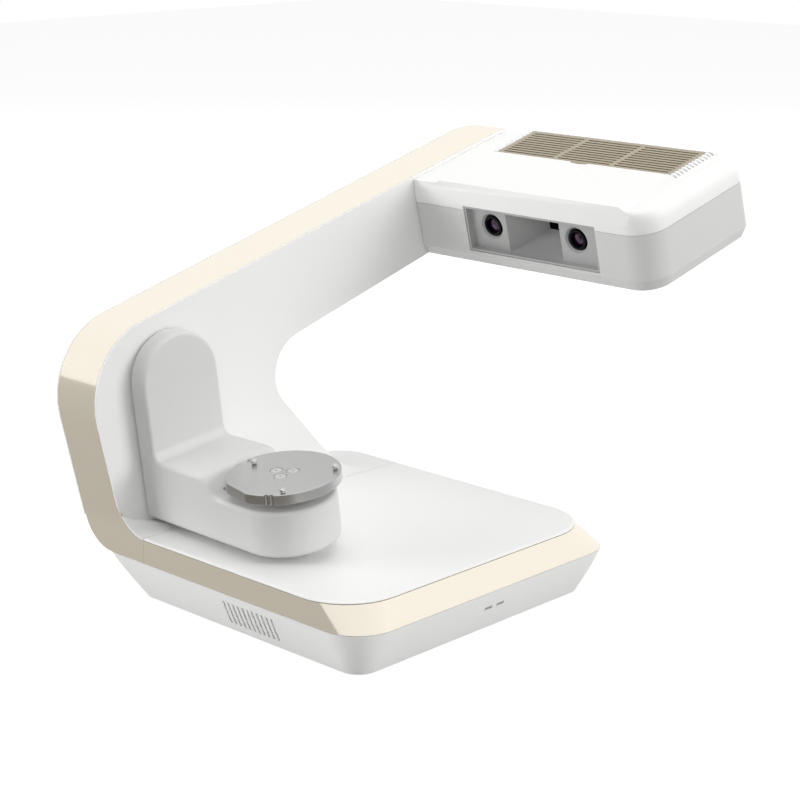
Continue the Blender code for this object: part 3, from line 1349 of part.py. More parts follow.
def around(radius, degrees):
    turn = math.radians(degrees)
    return (radius * math.cos(turn), radius * math.sin(turn))


def pin_places():
    left, right = PIN_SHIFT - PIN_SPREAD, PIN_SHIFT + PIN_SPREAD
    return [(left, -PIN_FRONT), (right, -PIN_FRONT), (PIN_SHIFT, PIN_REAR)]


def magnet_places():
    return [around(MAGNET_RING, degrees) for degrees in (90, 210, 330)]


def make_disc(mats, frames):
    """The steel disc: two flats, a notch and two small grooves in its rim, seats for pins and magnets."""
    edge, low = TABLE_EDGE, -TABLE_THICK
    profile = [(0, low), (TABLE_RADIUS - edge, low), (TABLE_RADIUS, low + edge), (TABLE_RADIUS, -edge),
               (TABLE_RADIUS - edge, 0), (0, 0)]
    disc = turned(profile, "turntable_disc", 72)
    tools = []
    for distance, degrees in ((FLAT_DISTANCE, FLAT_DEG), (REAR_FLAT_DISTANCE, REAR_FLAT_DEG)):
        tool = block((distance, distance + OVERRUN), (-TABLE_RADIUS, TABLE_RADIUS), (low - OVERRUN, OVERRUN))
        tools.append(rotated(tool, degrees, "Z"))
    half = REAR_NOTCH_WIDTH / 2
    tools.append(block((PIN_SHIFT - half, PIN_SHIFT + half),
                       (TABLE_RADIUS - REAR_NOTCH_DEPTH, TABLE_RADIUS + OVERRUN), (low - OVERRUN, OVERRUN)))
    for tool in tools:
        cut(disc, tool)
    small = []
    for shift in (-GROOVE_SPREAD_DEG / 2, GROOVE_SPREAD_DEG / 2):
        small.append(prism(circle(around(TABLE_RADIUS, GROOVE_DEG + shift), GROOVE_RADIUS, 12),
                           low - OVERRUN, OVERRUN))
    small += [prism(circle(place, PIN_NECK + GAP, 12), -PIN_DEPTH - GAP, OVERRUN) for place in pin_places()]
    small += [prism(circle(place, MAGNET_RADIUS + GAP, 24), -MAGNET_THICK - GAP, OVERRUN)
              for place in magnet_places()]
    cut(disc, joined(small))
    finish(disc, "turntable_disc", mats["steel"], frames["table"])


def make_pins_and_magnets(mats, frames):
    """Three ball-headed pins near the rim and three round magnets in the middle."""
    for k, place in enumerate(pin_places(), 1):
        base_turn = math.asin(PIN_NECK / PIN_BALL)
        centre = PIN_BALL * math.cos(base_turn) + GAP
        profile = [(0, -PIN_DEPTH), (PIN_NECK, -PIN_DEPTH), (PIN_NECK, 0)]
        turns = [base_turn + (math.pi - base_turn) * j / 6 for j in range(7)]
        profile += [(PIN_BALL * math.sin(turn), centre - PIN_BALL * math.cos(turn)) for turn in turns]
        profile[-1] = (0, profile[-1][1])
        pin = turned(profile, f"rim_pin_{k}", 12)
        finish(moved(pin, *place), f"rim_pin_{k}", mats["steel"], frames["table"], 40)
    for k, place in enumerate(magnet_places(), 1):
        dip = MAGNET_RADIUS / 6
        profile = [(0, -MAGNET_THICK), (MAGNET_RADIUS, -MAGNET_THICK), (MAGNET_RADIUS, 0), (dip, 0),
                   (dip, -MAGNET_THICK / 3), (0, -MAGNET_THICK / 3)]
        magnet = turned(profile, f"magnet_{k}", 24)
        finish(moved(magnet, *place), f"magnet_{k}", mats["steel"], frames["table"])


def make_table_shaft(mats, frames):
    """The hub under the disc with its shaft, and the pulley at its lower end."""
    top = -TABLE_THICK - GAP
    belt = TABLE_TOP_DROP - TABLE_BELT_DROP
    low = belt - BELT_WIDTH
    profile = [(0, low), (SHAFT_RADIUS, low), (SHAFT_RADIUS, top - HUB_THICK), (HUB_RADIUS, top - HUB_THICK),
               (HUB_RADIUS, top), (0, top)]
    finish(turned(profile, "table_shaft"), "table_shaft", mats["steel"], frames["table"])
    profile = pulley_profile(SHAFT_RADIUS + GAP, TABLE_PULLEY, belt, BELT_WIDTH)
    finish(turned(profile, "table_pulley"), "table_pulley", mats["alloy"], frames["table"])


# Scan head, in its own frame

def head_ring(level, front=0.0, side=0.0, end=0.0, wall=0.0, inset=0.0):
    """Outline of the head at a level, with how far each side lies inside the widest outline."""
    corners = [(HEAD_FRONT, HEAD_SIDE), (HEAD_END, HEAD_SIDE), (HEAD_END, HEAD_FAR_SIDE),
               (HEAD_FRONT, HEAD_FAR_SIDE)]
    radii = [HEAD_CORNER, HEAD_END_CORNER, HEAD_WALL_CORNER, HEAD_WALL_CORNER]
    insets = [side + inset, end + inset, wall + inset, front + inset]
    return [(p.x, p.y, level) for p in rounded(corners, radii, insets)]


def end_lean(level):
    """The head's far end leans in from its widest line to its shoulder."""
    share = (level - HEAD_BOTTOM) / (SHOULDER_TOP - HEAD_BOTTOM)
    return (HEAD_LENGTH - HEAD_TOP_LENGTH) * share


def recess_block(grow, front, back, low, high):
    half = RECESS_LENGTH / 2 + grow
    return block((front, back), (RECESS_MIDDLE - half, RECESS_MIDDLE + half), (low - grow, high + grow))


def make_head_lower_housing(mats, frames):
    """The head's lower shell, open at the top, with the lens recess in its front and a bevelled foot."""
    top = HEAD_PARTING - GAP / 2
    bevel = HEAD_BOTTOM + HEAD_BEVEL_UP
    rings = [head_ring(HEAD_BOTTOM, HEAD_BEVEL_IN, HEAD_BEVEL_IN, HEAD_BEVEL_IN, 0),
             head_ring(bevel, 0, 0, 0, 0), head_ring(top, 0, 0, end_lean(top), 0)]
    body = loft(rings, "head_lower_housing")
    floor = HEAD_BOTTOM + HEAD_WALL
    inside = [head_ring(floor, HEAD_BEVEL_IN / 2, HEAD_BEVEL_IN / 2, HEAD_BEVEL_IN / 2, 0, HEAD_WALL),
              head_ring(bevel, 0, 0, 0, 0, HEAD_WALL),
              head_ring(top + OVERRUN, 0, 0, end_lean(top), 0, HEAD_WALL)]
    cut(body, loft(inside))
    cut(body, recess_block(0, HEAD_FRONT - OVERRUN, PANEL, RECESS_LOW, RECESS_HIGH))
    s, n = bracket_limits()
    wall = HEAD_FAR_SIDE - HEAD_WALL
    cut(body, block((s[0] - GAP, s[1] + GAP), (wall - OVERRUN, WALL_FRONT + OVERRUN),
                    (n[0] - GAP, n[1] + GAP)))
    finish(body, "head_lower_housing", mats["white"], frames["head"])


def grille_limits(grow=0.0):
    start = HEAD_FRONT + GRILLE_START
    return ((start - grow, start + GRILLE_LENGTH + grow),
            (HEAD_SIDE + PLATEAU_SIDE + GRILLE_END - grow,
             HEAD_FAR_SIDE - PLATEAU_WALL_SIDE - GRILLE_END + grow))


def slot_places():
    """Comb slots, evenly spaced: the first and the last run on from the grille's long edges."""
    pitch = GRILLE_LENGTH / (SLOT_COUNT - 1)
    return [HEAD_FRONT + GRILLE_START + pitch * k for k in range(SLOT_COUNT)]


def make_head_top_cover(mats, frames):
    """The top shell: a round shoulder, a raised plateau and comb slots that run over its sides."""
    low = HEAD_PARTING + GAP / 2
    rise = SHOULDER_TOP - SHOULDER_LOW
    rings = [head_ring(low, 0, 0, end_lean(low), 0),
             head_ring(SHOULDER_LOW, 0, 0, end_lean(SHOULDER_LOW), 0)]
    for rise_share, width_share in SHOULDER_SHARES:
        level = SHOULDER_LOW + rise * rise_share
        inset = SHOULDER_WIDTH * width_share
        rings.append(head_ring(level, 0, inset, end_lean(level) + inset / 2, 0))
    cover = loft(rings, "head_top_cover")
    near, far = HEAD_SIDE + PLATEAU_SIDE, HEAD_FAR_SIDE - PLATEAU_WALL_SIDE
    end = HEAD_FRONT + PLATEAU_LENGTH
    foot, height = PLATEAU_BEVEL, PLATEAU_TOP - SHOULDER_TOP
    sunk = SHOULDER_TOP - HEAD_WALL / 2
    plateau = [round_rectangle(HEAD_FRONT, end + foot, near - foot, far + foot, [0] * 4),
               round_rectangle(HEAD_FRONT, end + foot, near - foot, far + foot, [0] * 4),
               round_rectangle(HEAD_FRONT, end, near, far, [0] * 4)]
    levels = [sunk, SHOULDER_TOP, PLATEAU_TOP]
    fuse(cover, loft([[(p.x, p.y, level) for p in ring] for ring, level in zip(plateau, levels)]))
    slope = FRONT_LEAN / (PLATEAU_TOP - SHOULDER_LOW)
    out = OVERRUN * 2
    wedge = [(HEAD_FRONT - out, SHOULDER_LOW - out / slope), (HEAD_FRONT + slope * (height + rise + out),
             PLATEAU_TOP + out), (HEAD_FRONT - out, PLATEAU_TOP + out)]
    cut(cover, prism(wedge, -OVERRUN, ARM_BACK, "xz"))
    ceiling = SHOULDER_TOP - HEAD_WALL
    inside = [head_ring(low - OVERRUN, 0, 0, end_lean(low), 0, HEAD_WALL),
              head_ring(SHOULDER_LOW, 0, 0, end_lean(SHOULDER_LOW), 0, HEAD_WALL),
              head_ring(ceiling, FRONT_LEAN, SHOULDER_WIDTH / 2, end_lean(ceiling) + SHOULDER_WIDTH / 4, 0,
                        HEAD_WALL)]
    cut(cover, loft(inside))
    cut(cover, recess_block(0, HEAD_FRONT - OVERRUN, PANEL, low - OVERRUN, RECESS_HIGH))
    s, y = grille_limits(GAP)
    pocket = PLATEAU_TOP - GRILLE_SINK - GRILLE_THICK - GAP
    cut(cover, block(s, y, (pocket, PLATEAU_TOP + OVERRUN)))
    ledge = GRILLE_LEDGE
    cut(cover, block((s[0] + ledge, s[1] - ledge), (y[0] + ledge, y[1] - ledge),
                     (ceiling - OVERRUN, pocket + OVERRUN)))
    combs = []
    for place in slot_places():
        for inner, outer in ((y[0] + GAP, near - COMB_REACH), (far + COMB_REACH, y[1] - GAP)):
            combs.append(block((place - SLOT_WIDTH / 2, place + SLOT_WIDTH / 2),
                               (min(inner, outer), max(inner, outer)),
                               (PLATEAU_TOP - COMB_DEPTH, PLATEAU_TOP + OVERRUN)))
    cut(cover, joined(combs))
    notch = [(s[0] + GAP, NOTCH_MIDDLE + NOTCH_LENGTH / 2), (s[0] + GAP, NOTCH_MIDDLE - NOTCH_LENGTH / 2)]
    for k in range(9):
        turn = math.pi * k / 8
        notch.append((s[0] - NOTCH_WIDTH * math.sin(turn), NOTCH_MIDDLE - NOTCH_LENGTH / 2 * math.cos(turn)))
    cut(cover, prism(notch[::-1], pocket, PLATEAU_TOP + OVERRUN))
    finish(cover, "head_top_cover", mats["white"], frames["head"])


def make_head_grille(mats, frames):
    """The gold grille: rows of long slots with bridges, and a chamfer along its front edge."""
    s, y = grille_limits()
    top = PLATEAU_TOP - GRILLE_SINK
    grille = block(s, y, (top - GRILLE_THICK, top), "head_grille")
    span = (y[1] - y[0] - SLOT_BRIDGE * (SLOT_SPANS + 1)) / SLOT_SPANS
    chamfer = [(s[0] - OVERRUN, top + OVERRUN), (s[0] - OVERRUN, top - GRILLE_CHAMFER - OVERRUN),
               (s[0] + GRILLE_CHAMFER + OVERRUN, top + OVERRUN)]
    cut(grille, prism(chamfer, 0, ARM_BACK, "xz"))
    slots = []
    for place in slot_places()[1:-1]:
        for k in range(SLOT_SPANS):
            first = y[0] + SLOT_BRIDGE + (span + SLOT_BRIDGE) * k
            slots.append(block((place - SLOT_WIDTH / 2, place + SLOT_WIDTH / 2), (first, first + span),
                               (top - GRILLE_THICK - OVERRUN, top + OVERRUN)))
    cut(grille, joined(slots))
    finish(grille, "head_grille", mats["gold"], frames["head"])


def window_places():
    return (WINDOW_MIDDLE - WINDOW_SPREAD, WINDOW_MIDDLE + WINDOW_SPREAD)


def funnel_ring(s, share, grow):
    """The funnel's rectangular section: share 0 at its mouth and 1 at its throat."""
    half = FUNNEL_FRONT_HALF + (FUNNEL_BACK_HALF - FUNNEL_FRONT_HALF) * share + grow
    low_mouth = RECESS_LOW + GAP + BEZEL_WALL
    high_mouth = RECESS_HIGH - GAP - BEZEL_WALL
    low = low_mouth + (FUNNEL_BACK_LOW - low_mouth) * share - grow
    high = high_mouth + (FUNNEL_BACK_HIGH - high_mouth) * share + grow
    near, far = WINDOW_MIDDLE - half, WINDOW_MIDDLE + half
    return [(s, near, low), (s, far, low), (s, far, high), (s, near, high)]


def make_lens_bezel(mats, frames):
    """The panel in the lens recess: a tray with two chamfered windows and the projector's funnel."""
    back = PANEL + BEZEL_THICK
    bezel = recess_block(-GAP, HEAD_FRONT + GAP * 2, back, RECESS_LOW, RECESS_HIGH)
    cut(bezel, recess_block(-GAP - BEZEL_WALL, HEAD_FRONT - OVERRUN, PANEL, RECESS_LOW, RECESS_HIGH))
    throat = PANEL + FUNNEL_DEPTH
    fuse(bezel, loft([funnel_ring(PANEL + BEZEL_THICK / 2, 0, FUNNEL_WALL * 0.9),
                      funnel_ring(throat, 1, FUNNEL_WALL)]))
    cut(bezel, loft([funnel_ring(PANEL - OVERRUN / 4, 0, 0), funnel_ring(PANEL, 0, 0),
                     funnel_ring(throat, 1, 0), funnel_ring(throat + OVERRUN, 1, 0)]))
    slope = (WINDOW_OUTER - WINDOW_INNER) / BEZEL_THICK
    out = OVERRUN / 4
    for y in window_places():
        profile = [(0, PANEL - out), (WINDOW_OUTER + slope * out, PANEL - out),
                   (WINDOW_INNER - slope * out, back + out), (0, back + out)]
        cut(bezel, moved(turned(profile, axis="x"), 0, y, WINDOW_LEVEL))
    finish(bezel, "lens_bezel", mats["white"], frames["head"], 40)


def make_cameras(mats, frames):
    """Two cameras, each a square body with a lens barrel that looks through its window."""
    front = PANEL + BARREL_RECESS
    inner = BARREL_RADIUS - BARREL_WALL
    low = bench_top() + GAP
    for name, y in zip(("right", "left"), window_places()):
        profile = [(0, front + BARREL_LENGTH * 0.6), (inner, front + BARREL_LENGTH * 0.6), (inner, front),
                   (BARREL_RADIUS, front), (BARREL_RADIUS, front + BARREL_LENGTH + OVERRUN / 2),
                   (0, front + BARREL_LENGTH + OVERRUN / 2)]
        camera = moved(turned(profile, f"camera_{name}", axis="x"), 0, y, WINDOW_LEVEL)
        half = CAMERA_SIZE / 2
        body = block((front + BARREL_LENGTH, front + BARREL_LENGTH + CAMERA_DEPTH), (y - half, y + half),
                     (low, WINDOW_LEVEL + half))
        fuse(camera, body)
        finish(camera, f"camera_{name}", mats["black"], frames["head"])
        lens = crowned_glass(inner - GAP, front + GLASS_RECESS, f"camera_lens_{name}")
        finish(moved(lens, 0, y, WINDOW_LEVEL), lens.name, mats["glass"], frames["head"], 40)


def crowned_glass(radius, front, name):
    """A lens with a domed front face."""
    dome = []
    for k in range(4):
        reach = radius * k / 3
        dome.append((reach, front + GLASS_CROWN * (reach / radius) ** 2))
    profile = dome + [(radius, front + GLASS_CROWN + GLASS_THICK), (0, front + GLASS_CROWN + GLASS_THICK)]
    return turned(profile, name, 24, "x")


def bench_top():
    return WINDOW_LEVEL - CAMERA_SIZE / 2 - GAP


def make_projector(mats, frames):
    """The projector's box with a short barrel behind the funnel, its lens and the heat sink behind it."""
    throat = PANEL + FUNNEL_DEPTH + GAP
    level = (FUNNEL_BACK_LOW + FUNNEL_BACK_HIGH) / 2
    bore = PROJECTOR_RADIUS + GAP
    rim = bore + BARREL_WALL
    collar = throat + BARREL_WALL * 3
    profile = [(0, collar), (bore, collar), (bore, throat), (rim, throat), (rim, collar + OVERRUN / 2),
               (0, collar + OVERRUN / 2)]
    body = moved(turned(profile, "projector_body", axis="x"), 0, WINDOW_MIDDLE, level)
    low, high = bench_top() + GAP, bench_top() + GAP + PROJECTOR_HEIGHT
    half = PROJECTOR_WIDTH / 2
    end = collar + PROJECTOR_DEPTH
    fuse(body, block((collar + GAP, end), (WINDOW_MIDDLE - half, WINDOW_MIDDLE + half), (low, high)))
    finish(body, "projector_body", mats["black"], frames["head"])
    lens = crowned_glass(PROJECTOR_RADIUS, throat + GAP, "projector_lens")
    finish(moved(lens, 0, WINDOW_MIDDLE, level), "projector_lens", mats["glass"], frames["head"], 40)
    start = end + GAP
    root = HEATSINK_DEPTH / 4
    pitch = PROJECTOR_WIDTH / (HEATSINK_FINS - 1 + FIN_SHARE)
    outline = [(start, WINDOW_MIDDLE + half), (start, WINDOW_MIDDLE - half)]
    for k in range(HEATSINK_FINS):
        y = WINDOW_MIDDLE - half + pitch * k
        fin = y + pitch * FIN_SHARE
        outline += [(start + HEATSINK_DEPTH, y), (start + HEATSINK_DEPTH, fin)]
        if k < HEATSINK_FINS - 1:
            outline += [(start + root, fin), (start + root, y + pitch)]
    finish(prism(outline, low, high, "xy", "heat_sink"), "heat_sink", mats["alloy"], frames["head"])


def make_optics_bench(mats, frames):
    """The metal plate that the cameras and the projector stand on, with four legs."""
    high = bench_top()
    low = high - BENCH_THICK
    s = (PANEL + BARREL_LENGTH, HEAD_END - BENCH_INSET / 2)
    y = (HEAD_SIDE + BENCH_INSET, HEAD_FAR_SIDE - BENCH_INSET / 2)
    bench = block(s, y, (low, high), "optics_bench")
    legs = [prism(circle((a, b), BENCH_LEG / 2, 16), HEAD_BOTTOM + HEAD_WALL + GAP, high - BENCH_THICK / 2)
            for a in (s[0] + BENCH_LEG, s[1] - BENCH_LEG) for b in (y[0] + BENCH_LEG, y[1] - BENCH_LEG)]
    fuse(bench, joined(legs))
    finish(bench, "optics_bench", mats["alloy"], frames["head"])


def bracket_limits():
    """The head bracket's limits along s and n: it lies on the bench and reaches the arm's frame."""
    middle = HEAD_FRONT + HEAD_LENGTH / 2
    low = bench_top() + GAP
    return ((middle - BRACKET_LENGTH / 2, middle + BRACKET_LENGTH / 2), (low, low + BRACKET_HEIGHT))


def make_head_bracket(mats, frames):
    """An arm of channel section that joins the optics bench to the arm's frame, through both walls."""
    s, n = bracket_limits()
    y = (HEAD_FAR_SIDE - BRACKET_REACH, FRAME_FRONT - GAP)
    bracket = block(s, y, n, "head_bracket")
    wall = HEAD_WALL
    cut(bracket, block((s[0] + wall, s[1] - wall), (y[0] - OVERRUN, y[1] - wall),
                       (n[0] + wall, n[1] + OVERRUN)))
    finish(bracket, "head_bracket", mats["alloy"], frames["head"])


def make_head_board(mats, frames):
    """The head's circuit board, on edge behind the projector."""
    back = HEAD_END - BENCH_INSET / 2 - BENCH_LEG * 2
    low = bench_top() + GAP
    half = HEAD_BOARD_WIDTH / 2
    middle = WINDOW_MIDDLE - BRACKET_REACH / 2
    board = block((back - BOARD_THICK, back), (middle - half, middle + half), (low, low + HEAD_BOARD_HEIGHT),
                  "head_board")
    chips = []
    for k in range(3):
        y = middle - half + CHIP_SIZE + (HEAD_BOARD_WIDTH - CHIP_SIZE * 2) * k / 2
        chips.append(block((back - BOARD_THICK / 2, back + CHIP_THICK),
                           (y - CHIP_SIZE / 2, y + CHIP_SIZE / 2),
                           (low + OVERRUN, low + OVERRUN + CHIP_SIZE)))
    fuse(board, joined(chips))
    finish(board, "head_board", mats["board"], frames["head"])


# Fan under the grille

def fan_place():
    """The fan's middle. Its frame hangs on the grille's underside."""
    under = PLATEAU_TOP - GRILLE_SINK - GRILLE_THICK
    return (HEAD_FRONT + GRILLE_START + GRILLE_LENGTH / 2, WINDOW_MIDDLE, under - GAP - FAN_DEPTH / 2)


def make_fan(mats, frames):
    """A square fan frame with a spoked hub plate, and its rotor."""
    s, y, n = fan_place()
    half, deep = FAN_SIZE / 2, FAN_DEPTH / 2
    frame = block((-half, half), (-half, half), (-deep, deep), "fan_frame")
    cut(frame, prism(circle((0, 0), FAN_BORE), -deep - OVERRUN, deep + OVERRUN))
    spoke, thick = FAN_SPOKE / 2, FAN_SPOKE * 0.6
    hub = prism(circle((0, 0), FAN_HUB, 24), -deep, -deep + thick)
    fuse(hub, block((-FAN_BORE - spoke, FAN_BORE + spoke), (-spoke, spoke), (-deep, -deep + thick)))
    fuse(hub, block((-spoke, spoke), (-FAN_BORE - spoke, FAN_BORE + spoke), (-deep, -deep + thick)))
    fuse(frame, hub)
    finish(moved(frame, s, y, n), "fan_frame", mats["black"], frames["head"])
    low, high = -deep + thick + GAP * 2, deep - GAP * 2
    rotor = turned([(0, low), (FAN_HUB, low), (FAN_HUB, high), (0, high)], "fan_rotor", 28)
    tip = FAN_BORE - FAN_CLEARANCE
    reach = (high - low) / 2
    blades = []
    for k in range(FAN_BLADES):
        blade = block((FAN_HUB * 0.8, tip), (-FAN_BLADE_THICK / 2, FAN_BLADE_THICK / 2),
                      (-reach * 0.9, reach * 0.9))
        rotated(blade, BLADE_PITCH_DEG, "X")
        moved(blade, 0, 0, (low + high) / 2)
        blades.append(rotated(blade, 360 * k / FAN_BLADES, "Z"))
    fuse(rotor, joined(blades))
    finish(rotor, "fan_rotor", mats["black"], frames["fan"])


def build():
    clear_scene()
    mats = make_materials()
    frames = make_frames()
    makers = (make_lower_housing, make_indicator_lights, make_bottom_plate, make_feet, make_main_board,
              make_port_panel, make_sockets, make_power_switch, make_base_band, make_base_top_cover,
              make_arm_shells, make_arm_band, make_arm_frame, make_swing_bearings, make_swing_drive,
              make_swing_shaft, make_swing_shell, make_table_drive, make_disc, make_pins_and_magnets,
              make_table_shaft, make_head_lower_housing, make_head_top_cover, make_head_grille,
              make_lens_bezel, make_cameras, make_projector, make_optics_bench, make_head_bracket,
              make_head_board, make_fan)
    for make in makers:
        make(mats, frames)
    bpy.context.view_layer.update()


build()
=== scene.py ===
import json
import math
import bmesh
import bpy
from mathutils import Matrix, Vector
from mathutils.bvhtree import BVHTree

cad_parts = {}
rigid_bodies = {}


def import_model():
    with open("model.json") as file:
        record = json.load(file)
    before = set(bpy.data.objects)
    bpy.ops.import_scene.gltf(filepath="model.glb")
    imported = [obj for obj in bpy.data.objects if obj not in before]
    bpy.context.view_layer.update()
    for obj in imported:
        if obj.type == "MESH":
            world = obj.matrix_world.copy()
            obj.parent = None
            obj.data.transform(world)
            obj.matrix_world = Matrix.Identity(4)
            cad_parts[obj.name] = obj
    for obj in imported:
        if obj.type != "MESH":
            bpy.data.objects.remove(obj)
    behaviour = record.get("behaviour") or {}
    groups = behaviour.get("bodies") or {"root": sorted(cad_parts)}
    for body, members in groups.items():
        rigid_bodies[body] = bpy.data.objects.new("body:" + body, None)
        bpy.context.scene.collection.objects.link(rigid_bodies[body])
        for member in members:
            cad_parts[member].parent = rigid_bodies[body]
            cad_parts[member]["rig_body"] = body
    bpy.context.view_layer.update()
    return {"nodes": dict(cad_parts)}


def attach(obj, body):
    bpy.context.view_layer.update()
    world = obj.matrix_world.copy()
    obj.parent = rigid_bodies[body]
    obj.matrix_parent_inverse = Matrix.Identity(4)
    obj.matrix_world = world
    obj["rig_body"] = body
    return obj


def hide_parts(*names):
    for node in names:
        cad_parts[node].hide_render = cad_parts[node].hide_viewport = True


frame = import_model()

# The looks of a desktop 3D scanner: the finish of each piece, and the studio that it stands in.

MM = 0.001

# Rounding and smoothing of the CAD pieces' copies
WELD = 0.002 * MM
FLAT_DEG = 0.4
SMOOTH_DEG = 38.0
EDGE = 0.35 * MM
FINE_EDGE = 0.15 * MM
CREASE_DEG = 11.0               # edges that turn less are never crisp
HOUSING_SMOOTH_DEG = 20.0       # keeps the bevel under the head crisp
BEVEL_STEPS = 2
NORMAL_WEIGHT = 80              # how strongly the large faces set the shading

# Seams between two pieces
SEAM_REACH = 0.45 * MM          # a face with another solid nearer than this lies in a seam
SEAM_PULL = 0.1                 # how far a face's corners are drawn in before they are tested
SEAM_SHADE_RIM = 0.2 * MM             # width of the painted shade rim on each side of the head's parting line
RIM_TURN = 0.9                  # radians between the two faces of a seam's rim

# Camera
CAMERA_PLACE = (-0.96792, -0.91410, 0.48380)
CAMERA_TURN = (74.64, 0.0, -46.043)
CAMERA_LENS = 90.19
SENSOR_WIDTH = 36.0
CAMERA_CLIP = (0.01, 100)

# Filled in while the script runs
SLOTS = {}                      # each node's slot, by its name
FINISHES = {}                   # finishes that more than one function needs

# Studio
FLOOR_SIDE = 8.0
FLOOR_SHADE = "#B4B4B3"
FLOOR_GLOW = 0.90
FLOOR_SHARE = 0.28
WORLD_LIGHT = 0.18
WORLD_SHADE = "#FFFFFF"
MIDDLE = (0.0, 0.0, 0.12)
LAMPS = (   # name, place, width, height, watts
    ("overhead_box", (0.1, -0.1, 1.8), 1.6, 1.6, 15.0),
    ("front_box", (0.9, -1.9, 1.0), 1.2, 1.2, 26.0),
    ("back_right_box", (1.5, 1.2, 1.3), 1.2, 1.2, 8.0),
    ("back_left_box", (-1.6, 1.3, 0.6), 1.2, 1.0, 24.0),
    ("camera_side_box", (-1.7, -1.6, 0.9), 1.0, 1.0, 9.0),
)
CARDS = (   # name, place, point that it faces, width, height, shade
    ("left_card", (-0.87, 0.60, 0.11), (0.0, 0.60, 0.11), 2.2, 0.30, "#8A857B"),
    ("left_floor_card", (-0.545, 0.35, 0.001), (-0.545, 0.35, 1.0), 0.65, 2.4, "#8A857B"),
    ("corner_floor_card", (-0.37, -0.55, 0.001), (-0.37, -0.55, 1.0), 0.5, 0.6, "#8A857B"),
    ("front_floor_card", (0.5, -0.75, 0.0008), (0.5, -0.75, 1.0), 1.24, 1.1, "#BDBDBD"),
)

# The scan head's own frame: s along it, y across, n up
HEAD_ORIGIN = (-0.19172, -0.1316, 0.0025)
HEAD_TILT_DEG = 14.34
HEAD_FRONT = 330.0 * MM
SHOULDER_LOW = 161.0 * MM
SHOULDER_TOP = 171.5 * MM
PLATEAU_PLAY = 0.1 * MM
SHOULDER_PLAY = 0.4 * MM
FRONT_PLAY = 1.5 * MM

# Patterns of the finishes
CLOUD = 60 * MM                 # cloudiness of moulded plastic
CLOUD_DETAIL, GRAIN_DETAIL = 3.0, 2.0
GRAIN = 0.5 * MM                # the moulds' fine grain
GRAIN_DEPTH = 0.02 * MM
GRAIN_STRENGTH = 0.35
PLASTIC_ROUGHNESS = 0.36
PLASTIC_IOR = 1.53
PLASTIC_COAT_ROUGHNESS = 0.12
SHINE_SPREAD = 0.08             # how much the cloudiness changes the shine, as a share
FLAKE = 0.25 * MM               # metal flakes in the lacquer
TOOL_MARKS = 0.5 * MM           # spacing of the tool marks in metal
MARK_DETAIL = 3.0
MARK_DEPTH = 0.01 * MM
MARK_STRENGTH = 0.3
MARK_SPREAD = 0.2
POLISH_DEPTH = 0.001 * MM
SPANGLE = 4 * MM                # crystals of the galvanised sheet
GLASS_IOR = 1.52
GLASS_ROUGHNESS = 0.03
GLASS_COAT_ROUGHNESS = 0.02
GLASS_COAT_TINT = "#D98FE0"
PAINTED_SHEEN_BLEND = 0.35


def colour(text):
    """An sRGB hex colour as linear red, green, blue and alpha."""
    parts = [int(text[i:i + 2], 16) / 255 for i in (1, 3, 5)]
    return [p / 12.92 if p <= 0.04045 else ((p + 0.055) / 1.055) ** 2.4 for p in parts] + [1.0]


def add(tree, kind, inputs=None, links=None, **settings):
    """Adds a node with its settings, the values of its inputs and the links into them."""
    node = tree.nodes.new("ShaderNode" + kind)
    for name, value in settings.items():
        setattr(node, name, value)
    for name, value in (inputs or {}).items():
        node.inputs[name].default_value = value
    for name, source in (links or {}).items():
        tree.links.new(source, node.inputs[name])
    return node


def new_finish(name):
    """A new material, with its empty tree and the object coordinates that its patterns follow."""
    finish = bpy.data.materials.new(name)
    finish.use_nodes = True
    finish.node_tree.nodes.clear()
    place = add(finish.node_tree, "TexCoord").outputs["Object"]
    return finish, finish.node_tree, place


def close(tree, shader):
    """Links a shader to the material's output."""
    add(tree, "OutputMaterial", links={"Surface": shader.outputs[0]})


def moulded(name, shade, worn_shade, roughness=PLASTIC_ROUGHNESS, grain=GRAIN, depth=GRAIN_DEPTH, coat=0.0):
    """Moulded plastic: a fine even grain from the tool, and faint clouds in its colour and its shine."""
    finish, tree, place = new_finish(name)
    cloud = add(tree, "TexNoise", {"Scale": 1 / CLOUD, "Detail": CLOUD_DETAIL}, {"Vector": place})
    tone = add(tree, "MixRGB", {"Color1": colour(shade), "Color2": colour(worn_shade)},
               {"Fac": cloud.outputs["Fac"]})
    shine = add(tree, "MapRange",
                {"To Min": roughness * (1 - SHINE_SPREAD), "To Max": roughness * (1 + SHINE_SPREAD)},
                {"Value": cloud.outputs["Fac"]})
    grit = add(tree, "TexNoise", {"Scale": 1 / grain, "Detail": GRAIN_DETAIL}, {"Vector": place})
    bump = add(tree, "Bump", {"Strength": GRAIN_STRENGTH, "Distance": depth},
               {"Height": grit.outputs["Fac"]})
    shader = add(tree, "BsdfPrincipled",
                 {"IOR": PLASTIC_IOR, "Coat Weight": coat, "Coat Roughness": PLASTIC_COAT_ROUGHNESS},
                 {"Base Color": tone.outputs["Color"], "Roughness": shine.outputs["Result"],
                  "Normal": bump.outputs["Normal"]})
    close(tree, shader)
    return finish


def lacquered(name, shade, deep_shade, metallic, roughness):
    """Metallic lacquer: fine flakes in a smooth paint, so it mirrors softly and its colour varies a little."""
    finish, tree, place = new_finish(name)
    cells = add(tree, "TexVoronoi", {"Scale": 1 / FLAKE}, {"Vector": place})
    tone = add(tree, "MixRGB", {"Color1": colour(shade), "Color2": colour(deep_shade)},
               {"Fac": cells.outputs["Distance"]})
    shader = add(tree, "BsdfPrincipled",
                 {"Metallic": metallic, "Roughness": roughness},
                 {"Base Color": tone.outputs["Color"]})
    close(tree, shader)
    return finish


